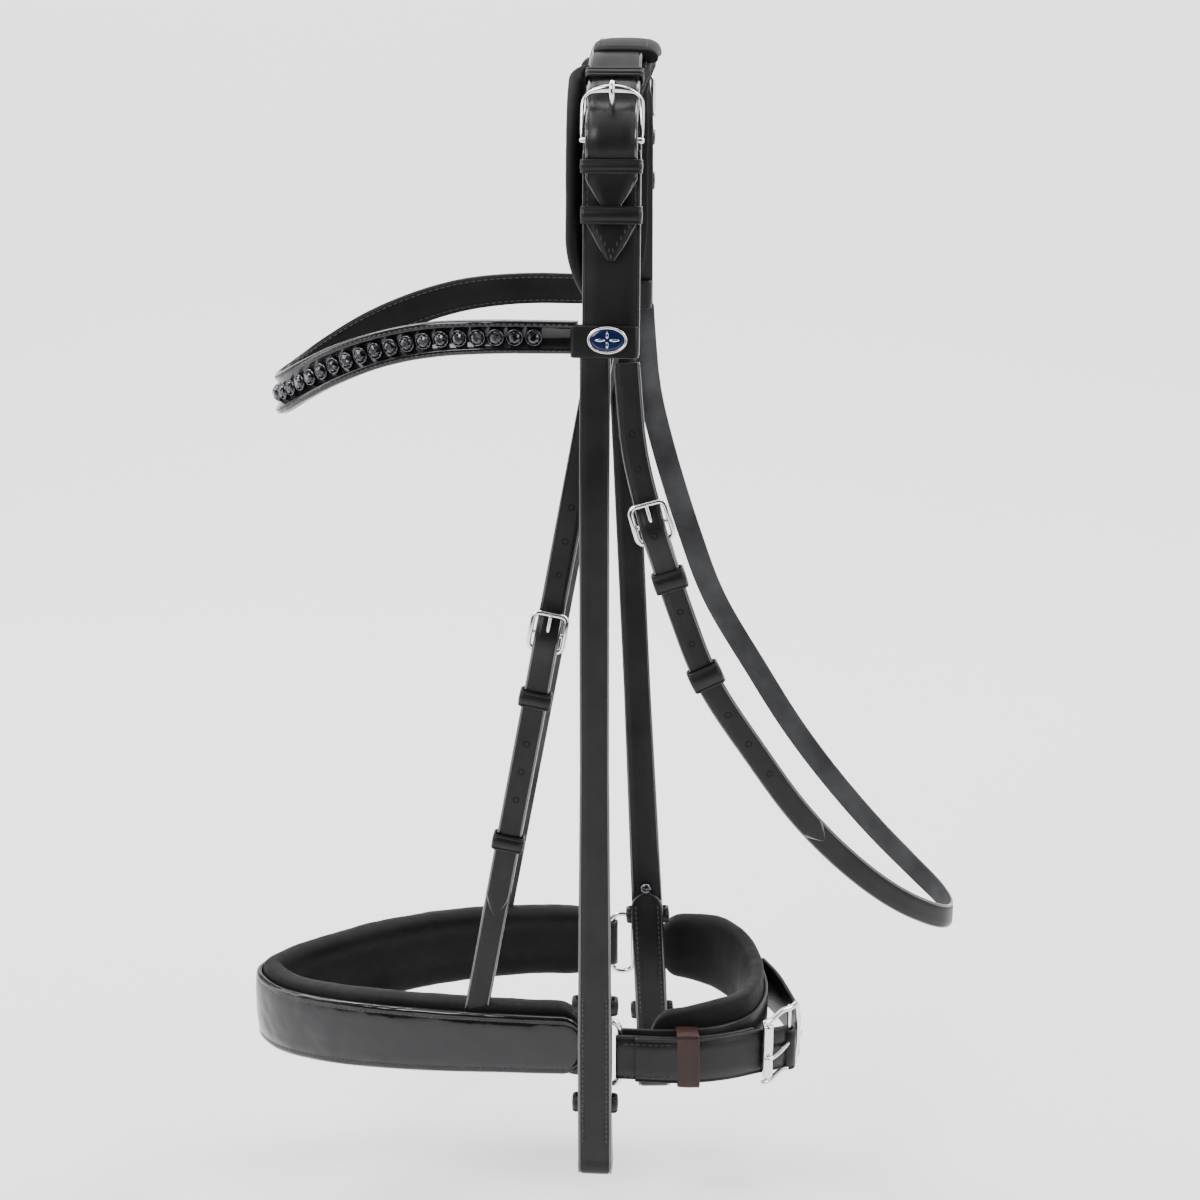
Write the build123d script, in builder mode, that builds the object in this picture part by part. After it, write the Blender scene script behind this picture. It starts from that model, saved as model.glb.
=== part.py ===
from build123d import *
import os
from math import sin, cos, radians, hypot

# Snaffle bridle, hanging as on a hook.  X to the rear, -Y the near (left) side, Z up.
# The origin is the underside of the crown pad where it rests on the poll.

# ---- driving dimensions (mm) ----
NEAR, FAR = -1, 1
LEATHER = 2.2                 # thickness of a single strap
CROWN_WIDTH = 25.0            # crown strap, whose two ends are the billets
HEADPIECE_WIDTH = 28.0        # side strap that splits into cheekpiece and throatlash
CHEEK_TOP, CHEEK_END = 15.0, 18.5   # cheekpiece width under the browband and at the bit
CHEEK_LENGTH = 450.0          # hinge at the browband to the underside of the bit fold
HANGER_WIDTH = 13.0           # noseband head strap and hangers
THROAT_WIDTH = 13.0
BIT_RADIUS = 4.5              # inside radius of the fold that holds the bit ring
BROW_LOOP_LENGTH = 15.6       # browband loop, along the strap
CRYSTAL_RADIUS = 3.8
CRYSTAL_COUNT = 39
CRYSTAL_PITCH = 9.3           # from one crystal to the next

# ---- the arch of the poll, the line that all the crown's layers follow ----
POLL_RADIUS, SHOULDER_RADIUS = 74.0, 40.0
POLL_ANGLE, SIDE_ANGLE = 18.0, 84.0
POLL_ARC = POLL_RADIUS * radians(POLL_ANGLE)
SIDE_START = POLL_ARC + SHOULDER_RADIUS * radians(SIDE_ANGLE - POLL_ANGLE)
SHOULDER_Y = (POLL_RADIUS - SHOULDER_RADIUS) * sin(radians(POLL_ANGLE))
SHOULDER_Z = -POLL_RADIUS + (POLL_RADIUS - SHOULDER_RADIUS) * cos(radians(POLL_ANGLE))


def arch(s, w, side=NEAR):
    """Point (y, z) at s mm down one side from the poll and w mm off the horse."""
    if s <= POLL_ARC:
        angle = s / POLL_RADIUS
        y, z = (POLL_RADIUS + w) * sin(angle), -POLL_RADIUS + (POLL_RADIUS + w) * cos(angle)
        return side * y, z
    angle = min(radians(POLL_ANGLE) + (s - POLL_ARC) / SHOULDER_RADIUS, radians(SIDE_ANGLE))
    y = SHOULDER_Y + (SHOULDER_RADIUS + w) * sin(angle)
    z = SHOULDER_Z + (SHOULDER_RADIUS + w) * cos(angle)
    run = max(0.0, s - SIDE_START)
    return side * (y + run * cos(angle)), z - run * sin(angle)


def arch_plane(s, w, side):
    """Plane across the strap at s: local x is X, local y points off the horse."""
    y0, z0 = arch(s, w, side)
    y1, z1 = arch(s, w + 1, side)
    outward = Vector(0, y1 - y0, z1 - z0)
    return Plane(origin=(0, y0, z0), x_dir=(1, 0, 0), z_dir=Vector(1, 0, 0).cross(outward))


def offset_line(points, distance):
    """Points moved sideways by distance, to the left of the line's direction."""
    moved = []
    for i, (a, b) in enumerate(points):
        a0, b0 = points[max(0, i - 1)]
        a1, b1 = points[min(len(points) - 1, i + 1)]
        length = hypot(a1 - a0, b1 - b0)
        moved.append((a - distance * (b1 - b0) / length, b + distance * (a1 - a0) / length))
    return moved


def strip(one_edge, other_edge):
    """Fill the sketch between two smooth lines, with square ends."""
    with BuildLine() as outline:
        Spline(*one_edge)
        Line(one_edge[-1], other_edge[-1])
        Spline(*other_edge)
        Line(other_edge[0], one_edge[0])
    make_face(outline.edges())


def save(builder, name):
    builder.part.label = name
    export_step(builder.part, f"parts/{name}.step")


def side_name(side):
    return "near" if side == NEAR else "far"


os.makedirs("parts", exist_ok=True)

# ================= crown =================
PAD_THICKNESS = 4.5
HEADSTRAP_W = 4.8             # underside of the noseband head strap, off the horse
HEADPIECE_W = 6.9
HEADPIECE_TOP = 47.0          # where the side straps start, down from the poll
BAR_S, FRAME_TOP_S = 66.0, 44.5
BAR_W = 12.5                  # height of the crown buckle's bar
FRAME_TOP_W = 14.1
PAD_END = 147.0
STRAP_END = 167.0             # side straps end just under the browband loops


def arch_strip(track, thickness, x_low, x_high, sides=(NEAR, FAR)):
    """Solid strap along the arch; track lists (s, w of its middle) down one side."""
    upper = [arch(s, w + thickness / 2, NEAR) for s, w in track]
    lower = [arch(s, w - thickness / 2, NEAR) for s, w in track]
    if len(sides) == 2:
        upper = [(-y, z) for y, z in reversed(upper[1:])] + upper
        lower = [(-y, z) for y, z in reversed(lower[1:])] + lower
    elif sides[0] == FAR:
        upper = [(-y, z) for y, z in upper]
        lower = [(-y, z) for y, z in lower]
    with BuildPart() as strap:
        with BuildSketch(Plane.YZ.offset(x_low)):
            strip(upper, lower)
        extrude(amount=x_high - x_low)
    return strap


steps = [0, 12, 23, 32, 42, 52, 62, 70, 90, 120]
PAD_FRONT, PAD_REAR = -23.0, 17.0
middle = PAD_THICKNESS / 2
flat_pad = arch_strip([(s, middle) for s in steps + [PAD_END]], PAD_THICKNESS,
                      PAD_FRONT + 8, PAD_REAR)
wing = arch_strip([(s, 4.2) for s in steps + [PAD_END]], 8.4, PAD_FRONT, PAD_FRONT + 8)
with BuildPart() as crown_pad:
    add(flat_pad.part)
    add(wing.part)
    with BuildSketch(Plane.XZ):
        with BuildLine():
            Polyline((PAD_FRONT, 20), (PAD_REAR, 20), (PAD_REAR, -16), (14, -40), (14, -114.5),
                     (-14.5, -114.5), (-21, -100), (PAD_FRONT, -80), close=True)
        make_face()
    extrude(amount=120, both=True, mode=Mode.INTERSECT)
save(crown_pad, "crown_pad")

headstrap_track = [(s, HEADSTRAP_W + 0.9) for s in steps + [STRAP_END - 1]]
noseband_headstrap = arch_strip(headstrap_track, 1.8, -13.5, -0.5)
save(noseband_headstrap, "noseband_headstrap")

# The billets leave the headpiece tops, climb over the buckle bars and lie on the chapes.
BILLET_END = 98.0
billet_track = [(0, 8.0), (12, 8.0), (23, 8.0), (32, 8.1), (40, 9.4), (46, 10.7), (52, 11.2),
                (58, 14.2), (63, 16.6), (67, 17.1), (74, 15.4), (82, 13.5), (90, 13.2),
                (BILLET_END, 13.2)]
plain_billets = arch_strip(billet_track, LEATHER, -CROWN_WIDTH / 2, CROWN_WIDTH / 2)
SLOT_TOP, SLOT_END = 48.0, 63.0   # slot for the buckle tongue, down from the poll
with BuildPart() as crown_strap:
    add(plain_billets.part)
    for side in (NEAR, FAR):
        y_top, z_top = arch(SLOT_TOP, 11, side)
        y_end, z_end = arch(SLOT_END, 16, side)
        with BuildSketch(Plane.YZ):
            with BuildLine():
                Polyline((y_top, z_top + 8), (y_top - side * 8, z_top), (y_end - side * 8, z_end),
                         (y_end + side * 12, z_end), close=True)
            make_face()
        extrude(amount=2.0, both=True, mode=Mode.SUBTRACT)
save(crown_strap, "crown_strap")

headpiece_track = [(s, HEADPIECE_W + 1.2) for s in [HEADPIECE_TOP, 54, 62, 70, 90, 120, STRAP_END]]
CHAPE_W = HEADPIECE_W + 2.4 + 0.3
for side in (NEAR, FAR):
    headpiece = arch_strip(headpiece_track, 2.4, -HEADPIECE_WIDTH / 2,
                           HEADPIECE_WIDTH / 2, [side])
    save(headpiece, f"{side_name(side)}_headpiece")

    # Chape: a fold round the buckle's bar, then a flat tail sewn down to a V point.
    tail_track = [(s, CHAPE_W + 1.1) for s in [BAR_S, 70, 90, 110, 124]]
    tail = arch_strip(tail_track, LEATHER, -CROWN_WIDTH / 2, CROWN_WIDTH / 2, [side])
    bar_y, bar_z = arch(BAR_S, BAR_W, side)
    with BuildPart() as chape:
        add(tail.part)
        with BuildSketch(Plane.XZ):
            with BuildLine():
                Polyline((-12.5, 0), (12.5, 0), (12.5, -72), (0, -88.6), (-12.5, -72), close=True)
            make_face()
        extrude(amount=120, both=True, mode=Mode.INTERSECT)
        with BuildSketch(Plane.YZ):
            with Locations((bar_y, bar_z)):
                Circle(2.9)
        extrude(amount=CROWN_WIDTH / 2, both=True)
        with BuildSketch(Plane.YZ):
            with Locations((bar_y, bar_z)):
                Circle(1.95)
        extrude(amount=20, both=True, mode=Mode.SUBTRACT)
        with BuildSketch(Plane.YZ):
            with Locations((bar_y, bar_z)):
                Circle(3.6)
        extrude(amount=1.9, both=True, mode=Mode.SUBTRACT)
    save(chape, f"{side_name(side)}_crown_chape")


def strap_staple(plane, inner_width, inner_height, wall, length):
    """Keeper: three walls of leather standing on the strap, open towards it."""
    with BuildPart() as staple:
        with BuildSketch(plane):
            with Locations((0, (inner_height + wall) / 2)):
                Rectangle(inner_width + 2 * wall, inner_height + wall)
            with Locations((0, inner_height / 2)):
                Rectangle(inner_width, inner_height, mode=Mode.SUBTRACT)
        extrude(amount=length / 2, both=True)
    return staple


# Three keepers a side: (middle s, standing height w, inside height, length).
crown_keepers = [(38.4, 6.8, 4.6, 6.0), (77.0, 9.45, 7.6, 6.8), (99.8, 9.45, 5.2, 8.6)]
for side in (NEAR, FAR):
    with BuildPart() as keepers:
        for s, w, height, length in crown_keepers:
            add(strap_staple(arch_plane(s, w, side), CROWN_WIDTH + 0.5, height, 1.2, length).part)
    save(keepers, f"{side_name(side)}_crown_keepers")


# ================= buckles =================
def bar_frame(bar, top, out):
    """Plane of a buckle: origin on its bar, local y towards the frame's far end."""
    up = (Vector(*top) - Vector(*bar)).normalized()
    across = up.cross(Vector(*out)).normalized()
    return Plane(origin=bar, x_dir=across, z_dir=across.cross(up))


def buckle_frame(plane, inner_width, outer_width, length, rod, corner):
    """Rounded rectangular frame with its bar at the plane's origin."""
    with BuildPart() as frame:
        with BuildSketch(plane):
            with Locations((0, length / 2)):
                RectangleRounded(outer_width, length + rod, corner)
                Rectangle(inner_width, length - rod, mode=Mode.SUBTRACT)
        extrude(amount=rod / 2, both=True)
        chamfer(frame.edges().filter_by(GeomType.LINE).group_by(Edge.length)[-1], rod / 5)
    return frame


def buckle_tongue(bar, tip, across, radius, eye_inner, eye_outer, half_width):
    """Prong with an eye round the bar; it rests on the far end of the frame."""
    rod_direction = Vector(*tip) - Vector(*bar)
    with BuildPart() as tongue:
        with BuildSketch(Plane(origin=bar, z_dir=across)):
            Circle(eye_outer)
        extrude(amount=half_width, both=True)
        with BuildSketch(Plane(origin=bar, z_dir=rod_direction)):
            Circle(radius)
        extrude(amount=rod_direction.length)
        with BuildSketch(Plane(origin=bar, z_dir=across)):
            Circle(eye_inner)
        extrude(amount=20, both=True, mode=Mode.SUBTRACT)
    return tongue


BUCKLE_ROD = 2.6
for side in (NEAR, FAR):
    bar = (0, *arch(BAR_S, BAR_W, side))
    top = (0, *arch(FRAME_TOP_S, FRAME_TOP_W, side))
    out_y, out_z = arch(55, 1, side)
    in_y, in_z = arch(55, 0, side)
    outward = (0, out_y - in_y, out_z - in_z)
    plane = bar_frame(bar, top, outward)
    length = (Vector(*top) - Vector(*bar)).length
    frame = buckle_frame(plane, CROWN_WIDTH + 0.8, 31.0, length, BUCKLE_ROD, 6.0)
    save(frame, f"{side_name(side)}_crown_buckle")
    tip = (0, *arch(FRAME_TOP_S - 1.5, FRAME_TOP_W + 4.0, side))
    tongue = buckle_tongue(bar, tip, (1, 0, 0), 1.3, 1.95, 2.85, 1.6)
    save(tongue, f"{side_name(side)}_crown_tongue")

# ================= browband =================
LOOP_S = 160.5
for side in (NEAR, FAR):
    with BuildPart() as loop:
        with BuildSketch(arch_plane(LOOP_S, 3.0, side)):
            with Locations((0, 4.2)):
                Rectangle(HEADPIECE_WIDTH + 3.4, 8.4)
                Rectangle(HEADPIECE_WIDTH + 0.6, 5.4, mode=Mode.SUBTRACT)
        extrude(amount=BROW_LOOP_LENGTH / 2, both=True)
    save(loop, f"{side_name(side)}_browband_loop")

    badge_plane = arch_plane(LOOP_S - 1, 11.4, side)
    face = Plane(origin=badge_plane.origin, x_dir=(1, 0, 0), z_dir=badge_plane.y_dir)
    with BuildPart() as rim:
        with BuildSketch(face):
            Ellipse(9.8, 6.6)
            Ellipse(8.8, 5.6, mode=Mode.SUBTRACT)
        extrude(amount=1.4)
    save(rim, f"{side_name(side)}_badge_rim")
    with BuildPart() as enamel:
        with BuildSketch(face):
            Ellipse(8.8, 5.6)
        extrude(amount=1.1)
    save(enamel, f"{side_name(side)}_badge_enamel")

# Plan line of the browband's front face, from the far loop round the forehead.
brow_plan = [(-16, -69.5), (-60, -69.5), (-100, -61.0), (-140, -44.0), (-168, -22.5), (-180, 0)]
brow_plan = brow_plan + [(x, -y) for x, y in reversed(brow_plan[:-1])]
brow_top = [(-190, -164), (-178, -158), (-160, -146.5), (-140, -135.5), (-115, -126),
            (-90, -120), (-60, -117.5), (-15, -117.5)]
brow_bottom = [(-190, -184), (-178, -180), (-160, -168), (-140, -156), (-115, -144.5),
               (-90, -137.5), (-60, -134), (-15, -133.3)]


def looped_band(plan_outer, plan_inner, top, bottom):
    """Band of leather on edge: its plan strip cut to its outline seen from the side."""
    with BuildPart() as band:
        with BuildSketch(Plane.XY.offset(-700)):
            strip(plan_outer, plan_inner)
        extrude(amount=700)
        with BuildSketch(Plane.XZ):
            strip(top, bottom)
        extrude(amount=200, both=True, mode=Mode.INTERSECT)
    return band


browband_lining = looped_band(offset_line(brow_plan, -2.4), offset_line(brow_plan, -4.6),
                              brow_top, brow_bottom)
save(browband_lining, "browband_lining")
browband_front = looped_band(brow_plan, offset_line(brow_plan, -2.1),
                             [(x, z - 0.6) for x, z in brow_top],
                             [(x, z + 0.6) for x, z in brow_bottom])
save(browband_front, "browband_front")

# Crystals in cups, evenly spaced along the middle of the front face.
brow_mid = [(x, -y, (zt + zb) / 2) for (x, y), zt, zb in
            zip([(-15, 70), (-60, 70), (-100, 61.5), (-140, 44.3), (-168, 23), (-180.6, 0)],
                [-117.5, -117.5, -122, -135.5, -151, -159], [-133.3, -134, -139.7, -156, -173, -182])]
brow_mid = brow_mid + [(x, -y, z) for x, y, z in reversed(brow_mid[:-1])]
brow_line = Spline(*brow_mid)
crystal_places = []
for i in range(CRYSTAL_COUNT):
    t = 0.5 + (i - (CRYSTAL_COUNT - 1) / 2) * CRYSTAL_PITCH / brow_line.length
    place, along = brow_line.position_at(t), brow_line.tangent_at(t)
    outward = along.cross(Vector(0, 0, 1)).normalized()
    if outward.dot(Vector(place.X, place.Y, 0)) < 0:
        outward = outward * -1
    crystal_places.append(Plane(origin=place + outward * 0.7, z_dir=outward))
with BuildPart() as crystal_cups:
    for plane in crystal_places:
        with BuildSketch(plane):
            Circle(CRYSTAL_RADIUS + 0.5)
            Circle(CRYSTAL_RADIUS + 0.02, mode=Mode.SUBTRACT)
        extrude(amount=1.4)
save(crystal_cups, "crystal_cups")
with BuildPart() as crystals:
    for plane in crystal_places:
        with BuildSketch(plane):
            Circle(CRYSTAL_RADIUS)
        extrude(amount=2.6, taper=25)
save(crystals, "crystals")

# ================= cheekpieces =================
CHEEK_Z = -137.6
LAYER = 2.4                   # front layer of the cheekpiece
FOLD_TOP = -330.0             # upper end of the strap that is folded back
KEEPER_PLACES = (-347.0, -405.5)


def cheek_plane(side, origin, lean_in, lean_back):
    """Local x off the horse, local y up the strap, z along its width."""
    outward = Vector(0, side, 0).rotate(Axis.X, -side * lean_in)
    up = Vector(0, 0, 1).rotate(Axis.X, -side * lean_in).rotate(Axis.Y, -lean_back)
    width = outward.cross(up)
    return Plane(origin=origin, x_dir=outward, z_dir=width)


def make_cheek(side, plane, bow):
    """Cheekpiece, its bit-fold keepers and its hook stud, in one strap's plane."""
    prefix = side_name(side)
    fold_y = -CHEEK_LENGTH + BIT_RADIUS + LAYER
    half, down = LAYER / 2, (0, -1)
    width_plane = Plane(origin=plane.origin, x_dir=plane.z_dir, z_dir=-plane.x_dir)
    with BuildPart() as cheek:
        with BuildSketch(plane):
            with BuildLine():
                Spline((half, -2.2), (bow + half, -90), tangents=(down, down))
                Line((bow + half, -90), (bow + half, fold_y + 26))
                Line((bow + half, fold_y + 26), (bow - half, fold_y + 26))
                Line((bow - half, fold_y + 26), (bow - half, -90))
                Spline((half - LAYER, -2.2), (bow - half, -90), tangents=(down, down))
                Line((half - LAYER, -2.2), (half, -2.2))
            make_face()
        extrude(amount=12, both=True)
        with BuildSketch(plane):
            Circle(LAYER / 2)
            with Locations((0, -1.4)):
                Rectangle(LAYER, 2.8)
        extrude(amount=12, both=True)
        with BuildSketch(plane):                      # layer folded back up inside
            with Locations((bow - LAYER, (FOLD_TOP + fold_y + 26) / 2)):
                Rectangle(LAYER, fold_y + 26 - FOLD_TOP)
        extrude(amount=12, both=True)
        with BuildSketch(plane):                      # fold that goes round the bit
            with Locations((bow - LAYER / 2, fold_y)):
                Circle(BIT_RADIUS + LAYER)
            with Locations((bow - LAYER / 2, fold_y + 26)):
                Rectangle(2 * LAYER, 1)
            make_hull()
        extrude(amount=12, both=True)
        with BuildSketch(plane):
            with Locations((bow - LAYER / 2, fold_y)):
                Circle(BIT_RADIUS)
            with Locations((bow - LAYER / 2, fold_y + 17)):
                Rectangle(0.4, 0.4)
            make_hull()
        extrude(amount=20, both=True, mode=Mode.SUBTRACT)
        with BuildSketch(width_plane):                # outline: widens towards the bit
            with BuildLine():
                Polyline((-CHEEK_TOP / 2, 5), (CHEEK_TOP / 2, 5), (CHEEK_TOP / 2, -220),
                         (CHEEK_END / 2, -CHEEK_LENGTH - 1), (-CHEEK_END / 2, -CHEEK_LENGTH - 1),
                         (-CHEEK_TOP / 2, -220), close=True)
            make_face()
        extrude(amount=40, both=True, mode=Mode.INTERSECT)
    save(cheek, f"{prefix}_cheekpiece")

    with BuildPart() as keepers:
        for y in KEEPER_PLACES:
            keeper_plane = Plane(origin=plane.from_local_coords(Vector(bow - LAYER / 2, y, 0)),
                                 x_dir=plane.z_dir, z_dir=plane.y_dir)
            with BuildSketch(keeper_plane):
                Rectangle(22.4, 2 * LAYER + 3.2)
                Rectangle(20.0, 2 * LAYER + 0.6, mode=Mode.SUBTRACT)
            extrude(amount=4.5, both=True)
    save(keepers, f"{prefix}_bit_keepers")

    stud_origin = plane.from_local_coords(Vector(bow - 1.5 * LAYER - 0.1, FOLD_TOP - 40, 0))
    with BuildPart() as stud:
        with BuildSketch(Plane(origin=stud_origin, z_dir=-plane.x_dir)):
            Circle(2.0)
        extrude(amount=0.8)
        with BuildSketch(Plane(origin=stud_origin - plane.x_dir * 0.8, z_dir=-plane.x_dir)):
            SlotOverall(9.0, 4.4)
        extrude(amount=1.0)
    save(stud, f"{prefix}_hook_stud")


make_cheek(NEAR, cheek_plane(NEAR, (-7.5, -69.4, CHEEK_Z), 0, 0), 6.6)
make_cheek(FAR, cheek_plane(FAR, (-4.0, 69.4, CHEEK_Z), 6.0, 3.2), 0.0)

# ================= throatlash =================
# Middle line seen from the side, and how far each point stands from the centre plane.
throat_side = [(8.5, -142), (12, -179), (20, -213), (36, -264), (50, -300), (75, -341), (97, -374),
               (120, -402), (146, -428), (170, -447), (196, -464)]
throat_plan = [(4, -73.0), (20, -73.0), (50, -71.0), (76, -66.0), (100, -59.5), (122, -51.5),
               (145, -41.0), (165, -29.0), (181, -14.5), (186, 0)]
throat_plan = throat_plan + [(x, -y) for x, y in reversed(throat_plan[:-1])]
throat_edges = (offset_line(throat_side, THROAT_WIDTH / 2), offset_line(throat_side, -THROAT_WIDTH / 2))
throat_line = Spline(*[(x, 0, z) for x, z in throat_side])
throat_wide = Spline(*[(x, y, 0) for x, y in throat_plan])


def parameter_at(line, goal, coordinate):
    """Where along the first half of a line its coordinate reaches goal."""
    low, high = 0.0, 0.5 if line is throat_wide else 1.0
    rising = getattr(line.position_at(high), coordinate) > getattr(line.position_at(low), coordinate)
    for halving in range(40):
        middle_t = (low + high) / 2
        if (getattr(line.position_at(middle_t), coordinate) < goal) == rising:
            low = middle_t
        else:
            high = middle_t
    return low


def throat_plane(z, dy=0.0):
    """Plane on the near throatlash at height z: x down the strap, y off the horse."""
    t = parameter_at(throat_line, z, "Z")
    place, down = throat_line.position_at(t), throat_line.tangent_at(t)
    plan_t = parameter_at(throat_wide, place.X, "X")
    y = throat_wide.position_at(plan_t).Y + dy
    return Plane(origin=(place.X, y, z), x_dir=down, z_dir=down.cross(Vector(0, NEAR, 0)))


def along_strap(start, end, y, distance, side=NEAR):
    """Plane on a straight strap, distance from its start: x down it, y off the horse."""
    down = Vector(end[0] - start[0], 0, end[1] - start[1]).normalized()
    place = Vector(start[0], y, start[1]) + down * distance
    return Plane(origin=place, x_dir=down, z_dir=down.cross(Vector(0, side, 0)))


def strap_keeper(plane, inner_width, low, high, wall, length):
    """Closed loop of leather round a strap; low and high are heights off the strap plane."""
    ring_plane = Plane(origin=plane.origin, x_dir=plane.z_dir, z_dir=plane.x_dir)
    upward = 1 if ring_plane.y_dir.dot(plane.y_dir) > 0 else -1
    with BuildPart() as keeper:
        with BuildSketch(ring_plane):
            with Locations((0, upward * (low + high) / 2)):
                Rectangle(inner_width + 2 * wall, high - low + 2 * wall)
                Rectangle(inner_width, high - low, mode=Mode.SUBTRACT)
        extrude(amount=length / 2, both=True)
    return keeper


# The loop's strap starts at the buckle and runs round to the far side's headpiece.
THROAT_BUCKLE_Z = -221.0
throat_loop = looped_band(offset_line(throat_plan, 0), offset_line(throat_plan, LEATHER),
                          *throat_edges)
buckle_plane = throat_plane(THROAT_BUCKLE_Z)
with BuildPart() as throatlash_strap:
    add(throat_loop.part)
    with BuildSketch(Plane.XZ):                       # the near side above the bar is the billet
        with BuildLine():
            Polyline((-20, -100), (60, -100), (60, -213), (18, -227), (-20, -235), close=True)
        make_face()
    extrude(amount=100, mode=Mode.SUBTRACT)
save(throatlash_strap, "throatlash_strap")

# Billet: down from the browband, over the buckle's bar and along the strap to its point.
bend = [(-88, 0.3), (-50, 0.3), (-24, 0.3), (-16, 0.6), (-10, 2.4), (-4, 5.2), (2, 5.9), (9, 4.6),
        (18, 2.6), (30, 1.4), (45, 0.8), (65, 0.1), (85, -1.0), (105, -2.6), (124, -4.4)]
billet_face = Plane(origin=buckle_plane.origin, x_dir=buckle_plane.x_dir, z_dir=buckle_plane.y_dir)
with BuildPart() as throatlash_billet:
    with BuildSketch(buckle_plane):
        strip([(d, h + LEATHER) for d, h in bend], bend)
    extrude(amount=30, both=True)
    with BuildSketch(Plane.XZ):
        strip(offset_line(throat_side[:7], THROAT_WIDTH / 2 - 0.2),
              offset_line(throat_side[:7], -THROAT_WIDTH / 2 + 0.2))
    extrude(amount=200, both=True, mode=Mode.INTERSECT)
    with BuildSketch(billet_face):
        with Locations((-11, 0)):
            RectangleRounded(15, 2.8, 1.3)
    extrude(amount=12, mode=Mode.SUBTRACT)
save(throatlash_billet, "throatlash_billet")

# Its bar stands above the strap, which folds round it as a chape.
SMALL_ROD = 2.2
SMALL_LENGTH = 19.0
SMALL_BAR_H, SMALL_TOP_H = 2.6, 4.4   # heights of bar and frame end over the lower strap


def small_buckle(prefix, plane, bar_at, strap_width, tip_h):
    """Buckle on a narrow strap: frame, tongue and the fold of leather round the bar."""
    bar = plane.from_local_coords(Vector(bar_at, SMALL_BAR_H, 0))
    top = plane.from_local_coords(Vector(bar_at - SMALL_LENGTH, SMALL_TOP_H, 0))
    frame = buckle_frame(bar_frame(bar, top, plane.y_dir), strap_width + 0.8,
                         strap_width + 0.8 + 2 * SMALL_ROD, SMALL_LENGTH, SMALL_ROD, 4.0)
    save(frame, f"{prefix}_buckle")
    tip = plane.from_local_coords(Vector(bar_at - SMALL_LENGTH - 1, SMALL_TOP_H + tip_h, 0))
    tongue = buckle_tongue(bar, tip, plane.z_dir, 1.0, 1.65, 2.3, 1.2)
    save(tongue, f"{prefix}_tongue")


small_buckle("throatlash", buckle_plane, 0, THROAT_WIDTH, 2.7)
with BuildPart() as throatlash_keeper:
    add(strap_keeper(throat_plane(-246), THROAT_WIDTH + 1.2, -2.9, 5.0, 1.2, 11.0).part)
save(throatlash_keeper, "throatlash_keeper")
with BuildPart() as throatlash_runner:
    add(strap_keeper(throat_plane(-297), THROAT_WIDTH + 2.0, -3.6, 4.4, 1.2, 12.0).part)
save(throatlash_runner, "throatlash_runner")

# ================= noseband hangers =================
HANGER_TOP, HANGER_LOW = (-7.0, -144.0), (-74.5, -505.0)   # middle line seen from the side
HANGER_Y = 59.0               # inner face of the hanger's lower strap
HANGER_BAR = 142.0            # buckle bar, down from the hanger's top
hanger_length = hypot(HANGER_LOW[0] - HANGER_TOP[0], HANGER_LOW[1] - HANGER_TOP[1])


def flat_strap(plane, start, end, height, width, thickness, round_start=False):
    """Straight strap from start to end along the plane's local x."""
    with BuildPart() as strap:
        with BuildSketch(plane):
            with Locations(((start + end) / 2, height + thickness / 2)):
                Rectangle(end - start, thickness)
        extrude(amount=width / 2, both=True)
        if round_start:
            with BuildSketch(Plane(origin=plane.from_local_coords(Vector(start, height, 0)),
                                   z_dir=plane.y_dir)):
                Circle(width / 2)
            extrude(amount=thickness)
    return strap


for side in (NEAR, FAR):
    plane = along_strap(HANGER_TOP, HANGER_LOW, side * HANGER_Y, 0, side)
    if side == FAR:
        with BuildPart() as far_hanger_strap:
            add(flat_strap(plane, 0, hanger_length, 0, HANGER_WIDTH, LEATHER, True).part)
        save(far_hanger_strap, "far_hanger_strap")
        continue
    with BuildPart() as near_hanger_strap:
        add(flat_strap(plane, HANGER_BAR + 4, hanger_length, 0, HANGER_WIDTH, LEATHER).part)
    save(near_hanger_strap, "near_hanger_strap")
    track = [(0, 0.0), (40, 0.0), (80, 0.0), (110, 0.0), (122, 0.2), (128, 1.4), (133, 3.6), (139, 5.6),
             (144, 5.6),
             (152, 3.6), (162, 2.7), (175, 2.5), (200, 2.5), (230, 2.5), (260, 2.5), (298, 2.5)]
    with BuildPart() as near_hanger_billet:
        with BuildSketch(plane):
            strip([(d, h + LEATHER) for d, h in track], track)
        extrude(amount=HANGER_WIDTH / 2, both=True)
        add(flat_strap(plane, 0, 5, 0, HANGER_WIDTH, LEATHER, True).part)
        with BuildSketch(Plane(origin=plane.from_local_coords(Vector(131, 0, 0)), x_dir=plane.x_dir,
                               z_dir=plane.y_dir)):
            RectangleRounded(15, 2.8, 1.3)
        extrude(amount=12, mode=Mode.SUBTRACT)
    save(near_hanger_billet, "near_hanger_billet")
    small_buckle("near_hanger", plane, HANGER_BAR, HANGER_WIDTH, 2.7)
    for name, distance, low, high, length in (("near_hanger_keeper", 174, -0.3, 5.2, 9.0),
                                              ("near_hanger_runner", 256, -0.3, 5.0, 9.0)):
        keeper_plane = along_strap(HANGER_TOP, HANGER_LOW, side * HANGER_Y, distance, side)
        with BuildPart() as keeper:
            add(strap_keeper(keeper_plane, HANGER_WIDTH + 0.6, low, high, 1.2, length).part)
        save(keeper, name)

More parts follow.
